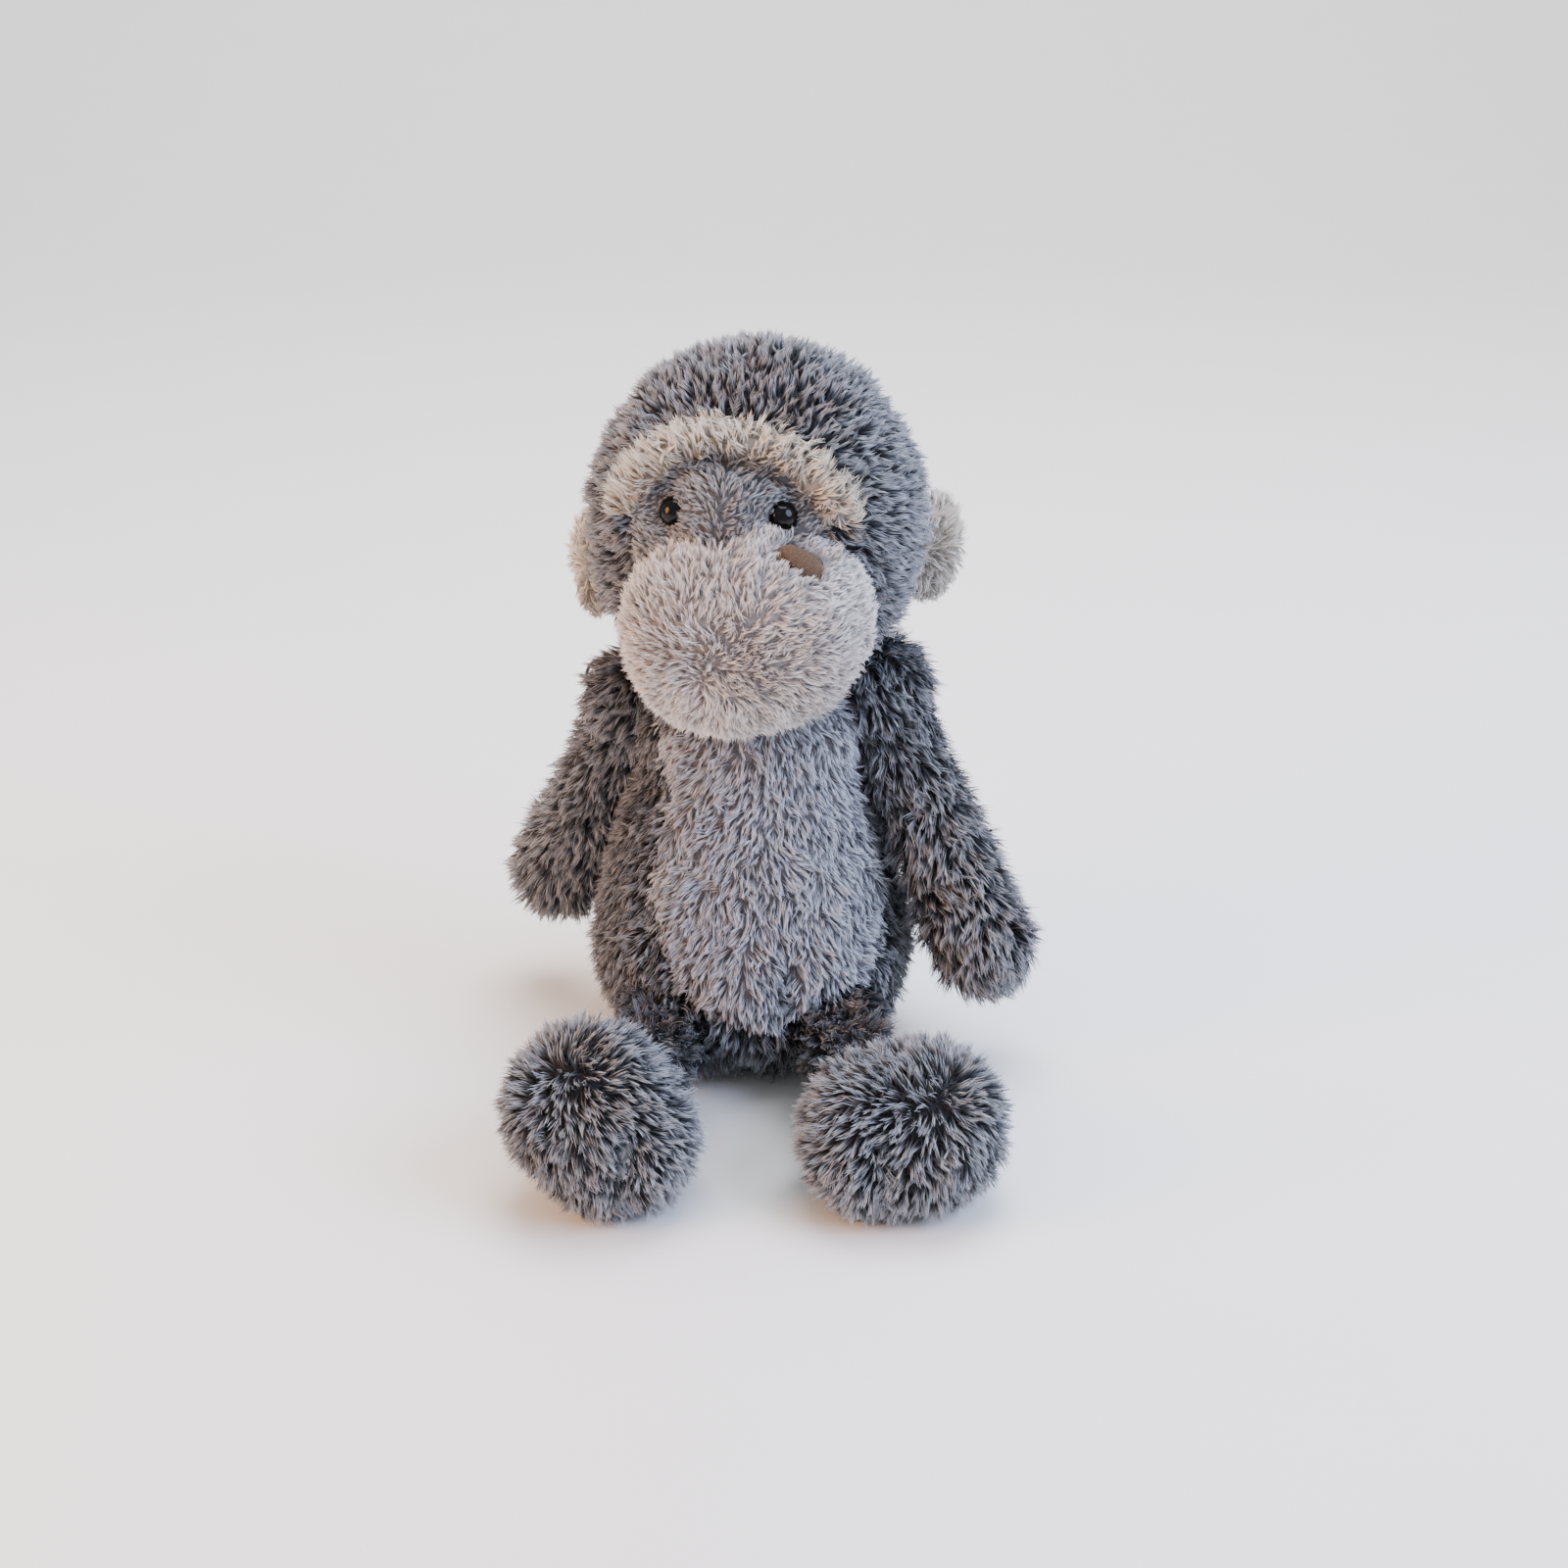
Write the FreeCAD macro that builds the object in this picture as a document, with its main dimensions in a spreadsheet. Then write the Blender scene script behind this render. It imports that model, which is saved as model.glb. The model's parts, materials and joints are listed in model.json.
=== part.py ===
import FreeCAD, Part

import math
import os

import Sketcher

# A sitting plush ape. Millimetres, +Z up, the face looks along -Y and the ape's left arm is at +X.
# The origin is the middle of the flat seat. Skins are modelled at the middle of their pile.

doc = FreeCAD.newDocument("plush_ape")

SIZES = [
    # torso
    ("belly_arc", 38.0),         # roundness of the lower torso
    ("belly_offset", 14.0),      # how far that arc's centre stands out from the axis
    ("belly_flat", 2.0),         # how far the floor presses the belly's round flat
    ("chest_arc", 35.5),         # roundness of the chest
    ("chest_height", 105.0),
    ("skin_wall", 3.0),          # cloth backing and half the pile
    ("fill_gap", 0.3),           # between a skin and what fills it
    ("seat_panel_height", 4.0),
    ("pouch_height", 30.0),      # top of the pellet pouch in the seat
    ("pouch_wall", 0.8),
    ("patch_low_arc", 39.0),     # pale belly panel: two arcs joined by straight sides
    ("patch_low_height", 65.0),
    ("patch_top_arc", 31.0),
    ("patch_top_height", 122.0),
    ("stitch_radius", 0.45),
    ("stitch_length", 6.0),
    ("stitch_pitch", 5.0),
    # head
    ("head_radius", 51.0),
    ("neck_height", 138.0),      # lowest point of the head
    ("neck_gap", 3.0),           # gathered seam between head and torso
    ("neck_ring_radius", 15.0),
    ("thread_radius", 0.7),
    ("face_radius", 31.0),
    ("face_drop", 4.5),
    ("brow_width", 10.0),
    ("brow_foot", 5.0),          # the brow ends this high above the middle of the head
    ("crown_half_width", 38.0),
    ("muzzle_radius", 29.5),
    ("muzzle_spacing", 12.0),    # between the centres of its two rounded ends
    ("muzzle_sink", 7.0),        # its centre is this far inside the head's surface
    ("muzzle_aside", 4.5),      # the muzzle sits towards the ape's left
    ("muzzle_drop", 26.0),
    ("muzzle_seam_front", 5.0),  # the front panel starts this far ahead of the muzzle's centre
    ("nose_radius", 6.0),
    ("nose_spacing", 5.0),
    ("nose_sink", 3.0),          # its middle is this far inside the muzzle's surface
    ("eye_radius", 5.0),
    ("eye_bulge", 4.0),
    ("eye_sink", 2.0),
    ("eye_clear", 0.2),
    ("shank_radius", 1.5),
    ("shank_length", 8.0),
    ("washer_radius", 6.0),
    ("washer_thick", 1.2),
    ("ear_radius", 14.0),
    ("ear_thick", 3.5),          # half an ear's thickness
    ("ear_gap", 4.2),
    # arms
    ("arm_root", 15.0),
    ("arm_tip", 15.0),
    ("arm_length", 93.0),        # from the shoulder's centre to the hand's centre
    ("shoulder_out", 13.5),       # the shoulder's centre stands this far outside the chest arc
    ("shoulder_height", 126.0),
    ("seam_gap", 2.6),           # gathered seam between a limb and the torso
    # legs
    ("leg_root", 15.0),
    ("leg_tip", 13.0),
    ("leg_length", 57.0),        # from the hip's centre to the ankle's centre
    ("hip_half_spacing", 27.0),
    ("hip_sink", 14.0),          # the hip's centre is this far inside the belly's front
    ("hip_height", 21.5),
    ("toe_radius", 24.0),
    ("heel_radius", 22.5),
    ("foot_spacing", 12.5),      # between the centres of toe and heel
    ("foot_ahead", 18.0),        # the foot's centre is this far past the ankle's centre
    ("foot_lift", 0.4),          # the foot's lowest point above the seat's plane
    ("ankle_gap", 2.0),
    ("sole_back", 3.0),          # the sole panel reaches this far behind the foot's middle
    ("bean_radius", 11.0),
]

LEFT, RIGHT = 1, -1
SIDES = [("left", LEFT), ("right", RIGHT)]

# How the toy is posed: angles in degrees.
HEAD_TURN = -11.0
MUZZLE_TURN = 4.0
MUZZLE_ROLL = -16.0
NECK_POINT = (2.5, 2.0)              # the neck's middle, off the torso's axis
ARM_SWING = {"left": 15.0, "right": -22.0}
ARM_LIFT = {"left": 23.0, "right": 22.0}
SHOULDER_BACK = {"left": 3.0, "right": 6.0}
LEG_TURN = {"left": 15.0, "right": 13.0}
FOOT_ROLL = {"left": 82.0, "right": 42.0}
SEAM_ROLL = 45.0                     # the muzzle's seams are twisted about its front
SEAM_LEAN = 20.0                     # and the front panel leans down from upright
PATCH_TURN = 9.0                     # the belly panel faces a little to the ape's left
EAR_TILT = {"left": -13.0, "right": -24.0}
EAR_SWEEP = 62.0                     # the ears point back from straight out
EYE_TURN = 20.5
EYE_TILT = 11.0
NOSE_TILT = 65.0
LIMB_ROOT_ANGLE = 50.0               # where a limb's side leaves its rounded root
STITCH_ROWS = range(9)
STITCH_START = 62.0

sheet = doc.addObject("Spreadsheet::Sheet", "Sizes")
for row, (alias, value) in enumerate(SIZES, start=1):
    sheet.set(f"A{row}", alias)
    sheet.set(f"B{row}", str(value))
    sheet.setAlias(f"B{row}", alias)
doc.recompute()
size = {alias: float(sheet.get(alias)) for alias, _ in SIZES}

nodes = []


def cell(words):
    """An expression with every size name in it pointed at the sheet."""
    return " ".join(f"Sizes.{word}" if word in size else word for word in words.split())


def bind(thing, **sizes):
    for field, words in sizes.items():
        thing.setExpression(field, cell(words))
    return thing


def place(thing, at=(0, 0, 0), turn=None):
    thing.Placement = FreeCAD.Placement(FreeCAD.Vector(*at), turn or FreeCAD.Rotation())
    return thing


def node(thing, label, placement=None):
    """Name a finished piece; its label is its file's name."""
    thing.Label = label
    if placement is not None:
        thing.Placement = placement
    nodes.append(thing)
    return thing


def ball(name, radius, at=(0, 0, 0), turn=None):
    return place(bind(doc.addObject("Part::Sphere", name), Radius=radius), at, turn)


def rod(name, radius, length, at=(0, 0, 0), turn=None):
    return place(bind(doc.addObject("Part::Cylinder", name), Radius=radius, Height=length), at, turn)


def ring(name, major, minor, at=(0, 0, 0), turn=None):
    return place(bind(doc.addObject("Part::Torus", name), Radius1=major, Radius2=minor), at, turn)


def block(name, low, high, turn=None, at=(0, 0, 0)):
    """A cutting block from one corner to the other, then turned about the origin and moved."""
    shape = doc.addObject("Part::Box", name)
    shape.Length, shape.Width, shape.Height = [b - a for a, b in zip(low, high)]
    turn = turn or FreeCAD.Rotation()
    corner = turn.multVec(FreeCAD.Vector(*low)) + FreeCAD.Vector(*at)
    return place(shape, tuple(corner), turn)


def fuse(name, *shapes):
    joined = doc.addObject("Part::MultiFuse", name)
    joined.Shapes = list(shapes)
    return joined


def common(name, *shapes):
    shared = doc.addObject("Part::MultiCommon", name)
    shared.Shapes = list(shapes)
    return shared


def cut(name, base, *tools):
    result = base
    for index, tool in enumerate(tools):
        step = doc.addObject("Part::Cut", name if index == len(tools) - 1 else f"{name}_step{index}")
        step.Base, step.Tool = result, tool
        result = step
    return result


def origin_feature(body, role):
    return next(item for item in body.Origin.OriginFeatures if item.Role == role)


def new_sketch(body, name, plane):
    sketch = body.newObject("Sketcher::SketchObject", name)
    sketch.AttachmentSupport = [(origin_feature(body, plane), "")]
    sketch.MapMode = "FlatFace"
    return sketch


def vec(x, y):
    return FreeCAD.Vector(x, y, 0)


def arc(centre, radius, start, end):
    circle = Part.Circle(vec(*centre), FreeCAD.Vector(0, 0, 1), radius)
    return Part.ArcOfCircle(circle, start, end)


def limit(sketch, kind, args, name, words, value=None):
    """Add one dimension to a sketch and bind it."""
    start = worked_out(words) if value is None else value
    sketch.addConstraint(Sketcher.Constraint(kind, *args, start))
    sketch.renameConstraint(sketch.ConstraintCount - 1, name)
    sketch.setExpression(f"Constraints.{name}", cell(words))


def tie(sketch, kind, *args):
    sketch.addConstraint(Sketcher.Constraint(kind, *args))


def worked_out(words):
    """The value of a plain sum or difference of size names and numbers."""
    total, sign = 0.0, 1.0
    for word in words.split():
        if word in "+-":
            sign = 1.0 if word == "+" else -1.0
        else:
            total += sign * (size[word] if word in size else float(word))
    return total


def less(name, inset):
    """The words for a size with an inset taken off it."""
    return f"{name} - " + inset.replace("+", "-")


def side_angle(low, low_radius, top, top_radius):
    """The direction square to the straight side that touches both circles on their right."""
    run = math.hypot(top[0] - low[0], top[1] - low[1])
    heading = math.atan2(top[1] - low[1], top[0] - low[0])
    return heading - math.acos((low_radius - top_radius) / run)


def pear(name, inset):
    """The torso's outline, inset all round, turned about the Z axis."""
    body = doc.addObject("PartDesign::Body", name)
    sketch = new_sketch(body, name + "_outline", "XZ_Plane")
    low = (size["belly_offset"], size["belly_arc"] - size["belly_flat"])
    top = (0.0, size["chest_height"])
    low_words, top_words = less("belly_arc", inset), less("chest_arc", inset)
    low_radius, top_radius = worked_out(low_words), worked_out(top_words)
    base = worked_out(inset)
    side = side_angle(low, low_radius, top, top_radius)
    foot = -math.asin((low[1] - base) / low_radius)
    foot_x = low[0] + low_radius * math.cos(foot)
    peak = top[1] + top_radius
    square = (math.cos(side), math.sin(side))
    lower = (low[0] + low_radius * square[0], low[1] + low_radius * square[1])
    upper = (top[0] + top_radius * square[0], top[1] + top_radius * square[1])
    sketch.addGeometry(Part.LineSegment(vec(0, base), vec(foot_x, base)))
    sketch.addGeometry(arc(low, low_radius, foot, side))
    sketch.addGeometry(Part.LineSegment(vec(*lower), vec(*upper)))
    sketch.addGeometry(arc(top, top_radius, side, math.pi / 2))
    sketch.addGeometry(Part.LineSegment(vec(0, peak), vec(0, base)))
    tie(sketch, "Coincident", 0, 2, 1, 1)
    tie(sketch, "Tangent", 1, 2, 2, 1)
    tie(sketch, "Tangent", 2, 2, 3, 1)
    tie(sketch, "Coincident", 3, 2, 4, 1)
    tie(sketch, "Coincident", 4, 2, 0, 1)
    tie(sketch, "Horizontal", 0)
    tie(sketch, "PointOnObject", 0, 1, -2)
    tie(sketch, "PointOnObject", 3, 2, -2)
    tie(sketch, "PointOnObject", 3, 3, -2)
    limit(sketch, "DistanceY", (-1, 1, 0, 1), "seat", f"{inset} + 0")
    limit(sketch, "DistanceX", (-1, 1, 1, 3), "low_out", "belly_offset")
    limit(sketch, "DistanceY", (-1, 1, 1, 3), "low_up", "belly_arc - belly_flat")
    limit(sketch, "DistanceY", (-1, 1, 3, 3), "top_up", "chest_height")
    limit(sketch, "Radius", (1,), "low_round", low_words)
    limit(sketch, "Radius", (3,), "top_round", top_words)
    spin(body, sketch)
    return body


def limb(name, root, tip, length, inset, placement):
    """A limb along +Z: a round root at the origin, a tapering side and a round tip."""
    body = doc.addObject("PartDesign::Body", name)
    sketch = new_sketch(body, name + "_outline", "XZ_Plane")
    root_words, tip_words = less(root, inset), less(tip, inset)
    root_radius, tip_radius, reach = worked_out(root_words), worked_out(tip_words), size[length]
    leave = math.radians(90.0 - LIMB_ROOT_ANGLE)
    start = (root_radius * math.cos(leave), root_radius * math.sin(leave))
    side = side_angle(start, 0.0, (0.0, reach), tip_radius)
    end = (tip_radius * math.cos(side), reach + tip_radius * math.sin(side))
    sketch.addGeometry(arc((0, 0), root_radius, -math.pi / 2, leave))
    sketch.addGeometry(Part.LineSegment(vec(*start), vec(*end)))
    sketch.addGeometry(arc((0, reach), tip_radius, side, math.pi / 2))
    sketch.addGeometry(Part.LineSegment(vec(0, reach + tip_radius), vec(0, -root_radius)))
    tie(sketch, "Coincident", 0, 2, 1, 1)
    tie(sketch, "Tangent", 1, 2, 2, 1)
    tie(sketch, "Coincident", 2, 2, 3, 1)
    tie(sketch, "Coincident", 3, 2, 0, 1)
    tie(sketch, "Coincident", 0, 3, -1, 1)
    tie(sketch, "PointOnObject", 2, 3, -2)
    tie(sketch, "PointOnObject", 2, 2, -2)
    tie(sketch, "PointOnObject", 0, 1, -2)
    limit(sketch, "Radius", (0,), "root_round", root_words)
    limit(sketch, "Radius", (2,), "tip_round", tip_words)
    limit(sketch, "DistanceY", (-1, 1, 2, 3), "reach", length)
    limit(sketch, "DistanceY", (-1, 1, 1, 1), "leave", f"( {root_words} ) * {math.sin(leave):.6f}", start[1])
    spin(body, sketch)
    body.Placement = placement
    return body


def bean(name, low, top, spacing, inset, placement):
    """Two balls on the Z axis, either side of the origin, and the straight side that joins them."""
    body = doc.addObject("PartDesign::Body", name)
    sketch = new_sketch(body, name + "_outline", "XZ_Plane")
    low_words, top_words = less(low, inset), less(top, inset)
    low_radius, top_radius, half = worked_out(low_words), worked_out(top_words), size[spacing] / 2
    side = side_angle((0.0, -half), low_radius, (0.0, half), top_radius)
    square = (math.cos(side), math.sin(side))
    start = (low_radius * square[0], low_radius * square[1] - half)
    end = (top_radius * square[0], top_radius * square[1] + half)
    sketch.addGeometry(arc((0, -half), low_radius, -math.pi / 2, side))
    sketch.addGeometry(Part.LineSegment(vec(*start), vec(*end)))
    sketch.addGeometry(arc((0, half), top_radius, side, math.pi / 2))
    sketch.addGeometry(Part.LineSegment(vec(0, half + top_radius), vec(0, -half - low_radius)))
    tie(sketch, "Tangent", 0, 2, 1, 1)
    tie(sketch, "Tangent", 1, 2, 2, 1)
    tie(sketch, "Coincident", 2, 2, 3, 1)
    tie(sketch, "Coincident", 3, 2, 0, 1)
    for index, point in ((0, 3), (2, 3), (2, 2), (0, 1)):
        tie(sketch, "PointOnObject", index, point, -2)
    limit(sketch, "Radius", (0,), "low_round", low_words)
    limit(sketch, "Radius", (2,), "top_round", top_words)
    limit(sketch, "DistanceY", (0, 3, -1, 1), "low_down", f"{spacing} / 2", half)
    limit(sketch, "DistanceY", (-1, 1, 2, 3), "top_up", f"{spacing} / 2", half)
    spin(body, sketch)
    body.Placement = placement
    return body


def pillow(name, radius, half_thick, placement):
    """A flat round pad with a round rim, its face square to the Z axis."""
    body = doc.addObject("PartDesign::Body", name)
    sketch = new_sketch(body, name + "_outline", "XZ_Plane")
    rim, thick = size[radius] - size[half_thick], size[half_thick]
    sketch.addGeometry(Part.LineSegment(vec(0, -thick), vec(rim, -thick)))
    sketch.addGeometry(arc((rim, 0), thick, -math.pi / 2, math.pi / 2))
    sketch.addGeometry(Part.LineSegment(vec(rim, thick), vec(0, thick)))
    sketch.addGeometry(Part.LineSegment(vec(0, thick), vec(0, -thick)))
    tie(sketch, "Tangent", 0, 2, 1, 1)
    tie(sketch, "Tangent", 1, 2, 2, 1)
    tie(sketch, "Coincident", 2, 2, 3, 1)
    tie(sketch, "Coincident", 3, 2, 0, 1)
    tie(sketch, "Horizontal", 0)
    tie(sketch, "Horizontal", 2)
    tie(sketch, "PointOnObject", 0, 1, -2)
    tie(sketch, "PointOnObject", 3, 1, -2)
    tie(sketch, "PointOnObject", 1, 3, -1)
    limit(sketch, "Radius", (1,), "rim_round", half_thick)
    limit(sketch, "DistanceX", (-1, 1, 1, 3), "rim_out", f"{radius} - {half_thick}")
    spin(body, sketch)
    body.Placement = placement
    return body


def spin(body, sketch):
    turned = body.newObject("PartDesign::Revolution", sketch.Name + "_turned")
    turned.Profile = sketch
    turned.ReferenceAxis = (sketch, ["V_Axis"])
    turned.Angle = 360.0
    sketch.Visibility = False


def patch_block(name):
    """The belly panel's outline, padded forwards through the front of the torso."""
    body = doc.addObject("PartDesign::Body", name)
    sketch = new_sketch(body, name + "_outline", "XZ_Plane")
    low, top = (0.0, size["patch_low_height"]), (0.0, size["patch_top_height"])
    low_radius, top_radius = size["patch_low_arc"], size["patch_top_arc"]
    side = side_angle(low, low_radius, top, top_radius)
    ends = []
    for centre, radius in ((low, low_radius), (top, top_radius)):
        ends.append((centre[0] + radius * math.cos(side), centre[1] + radius * math.sin(side)))
    (low_x, low_y), (top_x, top_y) = ends
    sketch.addGeometry(arc(low, low_radius, math.pi - side, 2 * math.pi + side))
    sketch.addGeometry(Part.LineSegment(vec(low_x, low_y), vec(top_x, top_y)))
    sketch.addGeometry(arc(top, top_radius, side, math.pi - side))
    sketch.addGeometry(Part.LineSegment(vec(-top_x, top_y), vec(-low_x, low_y)))
    tie(sketch, "Tangent", 0, 2, 1, 1)
    tie(sketch, "Tangent", 1, 2, 2, 1)
    tie(sketch, "Tangent", 2, 2, 3, 1)
    tie(sketch, "Tangent", 3, 2, 0, 1)
    tie(sketch, "PointOnObject", 0, 3, -2)
    tie(sketch, "PointOnObject", 2, 3, -2)
    limit(sketch, "DistanceY", (-1, 1, 0, 3), "low_up", "patch_low_height")
    limit(sketch, "DistanceY", (-1, 1, 2, 3), "top_up", "patch_top_height")
    limit(sketch, "Radius", (0,), "low_round", "patch_low_arc")
    limit(sketch, "Radius", (2,), "top_round", "patch_top_arc")
    pad = body.newObject("PartDesign::Pad", name + "_pad")
    pad.Profile = sketch
    bind(pad, Length="( belly_offset + belly_arc ) * 2")
    return body


def direction(turn, tilt):
    """A unit vector; 0,0 is straight ahead (-Y), turn goes to +X and tilt goes up. Degrees."""
    a, b = math.radians(turn), math.radians(tilt)
    return FreeCAD.Vector(math.sin(a) * math.cos(b), -math.cos(a) * math.cos(b), math.sin(b))


def about(axis, degrees):
    return FreeCAD.Rotation(FreeCAD.Vector(*axis), degrees)


def facing(vector):
    """A turn that takes +Z to the vector."""
    return FreeCAD.Rotation(FreeCAD.Vector(0, 0, 1), vector)


X_AXIS, Y_AXIS, Z_AXIS = (1, 0, 0), (0, 1, 0), (0, 0, 1)
FAR = 200.0                          # beyond every surface of the toy
WRITTEN_WITHIN = 0.01                # how far a written file's volume may be from the modelled one

# Places that several pieces share.
head_at = FreeCAD.Vector(*NECK_POINT, size["neck_height"] + size["head_radius"])
head_frame = FreeCAD.Placement(head_at, about(Z_AXIS, HEAD_TURN))


def foot_drop(side):
    """How far a foot's lowest point is below its middle."""
    lean = math.cos(math.radians(FOOT_ROLL[side])) * size["foot_spacing"] / 2
    return max(size["heel_radius"] + lean, size["toe_radius"] - lean)


def limb_frames(sign, side):
    """Each limb's frame: its pivot, with +Z along the limb."""
    rise = size["shoulder_height"] - size["chest_height"]
    out = math.sqrt(size["chest_arc"] ** 2 - rise ** 2) + size["shoulder_out"]
    shoulder = FreeCAD.Vector(sign * out, SHOULDER_BACK[side], size["shoulder_height"])
    down = about(X_AXIS, 180.0)
    arm_turn = about(X_AXIS, -ARM_SWING[side]) * about(Y_AXIS, -sign * ARM_LIFT[side]) * down
    hip = FreeCAD.Vector(sign * size["hip_half_spacing"],
                         size["hip_sink"] - size["belly_offset"] - size["belly_arc"],
                         size["hip_height"])
    reach = size["leg_length"] + size["foot_ahead"]
    lift = math.degrees(math.asin((foot_drop(side) + size["foot_lift"] - size["hip_height"]) / reach))
    leg_turn = about(Z_AXIS, sign * LEG_TURN[side]) * about(X_AXIS, 90.0 - lift)
    return FreeCAD.Placement(shoulder, arm_turn), FreeCAD.Placement(hip, leg_turn)


frames = {side: limb_frames(sign, side) for side, sign in SIDES}


def sockets(gap):
    """Room round the head and each limb's root, for the torso to be cut with."""
    tag = gap.replace(" ", "")
    tools = [ball("neck_room_" + tag, f"head_radius + neck_gap + {gap}", tuple(head_at))]
    for side, _ in SIDES:
        for words, frame in zip(("arm", "leg"), frames[side]):
            tools.append(ball(f"{words}_room_{side}_{tag}", f"{words}_root + seam_gap + {gap}",
                              tuple(frame.Base), frame.Rotation))
    return tools


def torso():
    outer, inner = pear("torso_form", "0"), pear("torso_lining", "skin_wall")
    fill = pear("fill_form", "skin_wall + fill_gap")
    shell = cut("torso_shell", outer, inner, *sockets("0"))
    patch = patch_block("patch_outline")
    patch.Placement = FreeCAD.Placement(FreeCAD.Vector(), about(Z_AXIS, PATCH_TURN))
    seat = block("seat_zone", (-FAR, -FAR, -FAR), (FAR, FAR, size["seat_panel_height"]))
    seat.setExpression("Height", cell(f"seat_panel_height + {FAR}"))
    node(common("seat", shell, seat), "seat_panel")
    node(common("belly", shell, patch), "belly_panel")
    rest = cut("torso_rest", shell, patch, seat)
    for side, sign in SIDES:
        half = block(f"half_{side}", (min(0, sign * FAR), -FAR, -FAR), (max(0, sign * FAR), FAR, FAR))
        node(common(f"torso_{side}", rest, half), f"torso_panel_{side}")
    room = sockets("skin_wall")
    pouch_zone = block("pouch_zone", (-FAR, -FAR, 0), (FAR, FAR, size["pouch_height"]))
    bind(pouch_zone, Height="pouch_height")
    packed = cut("fill_room", fill, *room)
    pouch_form = common("pouch_form", packed, pouch_zone)
    pellets = pear("pellet_form", "skin_wall + fill_gap + pouch_wall")
    pellet_zone = block("pellet_zone", (-FAR, -FAR, 0), (FAR, FAR, size["pouch_height"]))
    bind(pellet_zone, Height="pouch_height - pouch_wall")
    pellet_body = common("pellets", cut("pellet_room", pellets, *sockets("skin_wall + pouch_wall")),
                         pellet_zone)
    node(cut("pouch", pouch_form, pellet_body), "seat_pouch")
    node(pellet_body, "seat_pellets")
    above = block("stuffing_zone", (-FAR, -FAR, 0), (FAR, FAR, FAR))
    above.setExpression("Placement.Base.z", cell("pouch_height + fill_gap"))
    node(common("stuffing", packed, above), "torso_stuffing")


def closing_stitches():
    """Ladder stitches that close the back seam once the torso is filled."""
    low = (size["belly_offset"], size["belly_arc"] - size["belly_flat"])
    top = (0.0, size["chest_height"])
    side = side_angle(low, size["belly_arc"], top, size["chest_arc"])
    reach = size["stitch_radius"] + size["fill_gap"]
    rows = []
    for index in STITCH_ROWS:
        height = STITCH_START + index * size["stitch_pitch"]
        back = (size["belly_arc"] + low[0] * math.cos(side) + low[1] * math.sin(side)
                - height * math.sin(side)) / math.cos(side)
        rows.append(rod(f"stitch_{index}", "stitch_radius", "stitch_length",
                        (-size["stitch_length"] / 2, back + reach / math.cos(side), height),
                        about(Y_AXIS, 90.0)))
    stitches = doc.addObject("Part::Compound", "stitch_group")
    stitches.Links = rows
    node(stitches, "closing_stitches")


def eye_frame(sign):
    out = direction(sign * EYE_TURN, EYE_TILT)
    return FreeCAD.Placement(out * (size["head_radius"] - size["eye_sink"]), facing(out))


def in_frame(thing, frame):
    """Move a piece that was made at the origin into a frame."""
    thing.Placement = frame * thing.Placement
    return thing


def eyes():
    """Safety eyes: a glossy dome on a shank, held by a lock washer. Returns the room they need."""
    room = []
    for side, sign in SIDES:
        frame = eye_frame(sign)
        round_words = "( eye_radius * eye_radius + eye_bulge * eye_bulge ) / ( 2 * eye_bulge )"
        dome = ball(f"eye_dome_{side}", round_words)
        bind(dome, **{"Placement.Base.z": f"eye_bulge - {round_words}"})
        front = block(f"eye_front_{side}", (-FAR, -FAR, 0), (FAR, FAR, FAR))
        shank = rod(f"eye_shank_{side}", "shank_radius", "shank_length", (0, 0, -size["shank_length"]))
        bind(shank, **{"Placement.Base.z": "-1 * shank_length"})
        eye = fuse(f"eye_{side}_form", common(f"eye_cap_{side}", dome, front), shank)
        node(eye, f"eye_{side}", head_frame * frame)
        washer_top = size["eye_sink"] - size["skin_wall"] - size["fill_gap"] - size["eye_clear"]
        disc = rod(f"washer_disc_{side}", "washer_radius", "washer_thick",
                   (0, 0, washer_top - size["washer_thick"]))
        hole = rod(f"washer_hole_{side}", "shank_radius + eye_clear", "washer_thick * 3",
                   (0, 0, washer_top - size["washer_thick"] * 2))
        node(cut(f"washer_{side}", disc, hole), f"eye_washer_{side}", head_frame * frame)
        seat = in_frame(rod(f"eye_room_{side}", "eye_radius + eye_clear", "shank_length"), frame)
        bore = in_frame(rod(f"shank_room_{side}", "shank_radius + eye_clear", "shank_length * 2",
                            (0, 0, -size["shank_length"])), frame)
        back = in_frame(rod(f"washer_room_{side}", "washer_radius + fill_gap", "shank_length + fill_gap",
                            (0, 0, -size["shank_length"] - size["fill_gap"])), frame)
        room.append((seat, bore, back))
    return room


def muzzle_frame():
    turn = about(Z_AXIS, MUZZLE_TURN) * about(Y_AXIS, MUZZLE_ROLL)
    centre = FreeCAD.Vector(size["muzzle_aside"], size["muzzle_sink"] - size["head_radius"], -size["muzzle_drop"])
    return FreeCAD.Placement(centre, turn)


def muzzle_form(name, inset):
    across = FreeCAD.Placement(FreeCAD.Vector(), about(Y_AXIS, 90.0))
    return bean(name, "muzzle_radius", "muzzle_radius", "muzzle_spacing", inset, muzzle_frame() * across)


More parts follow.
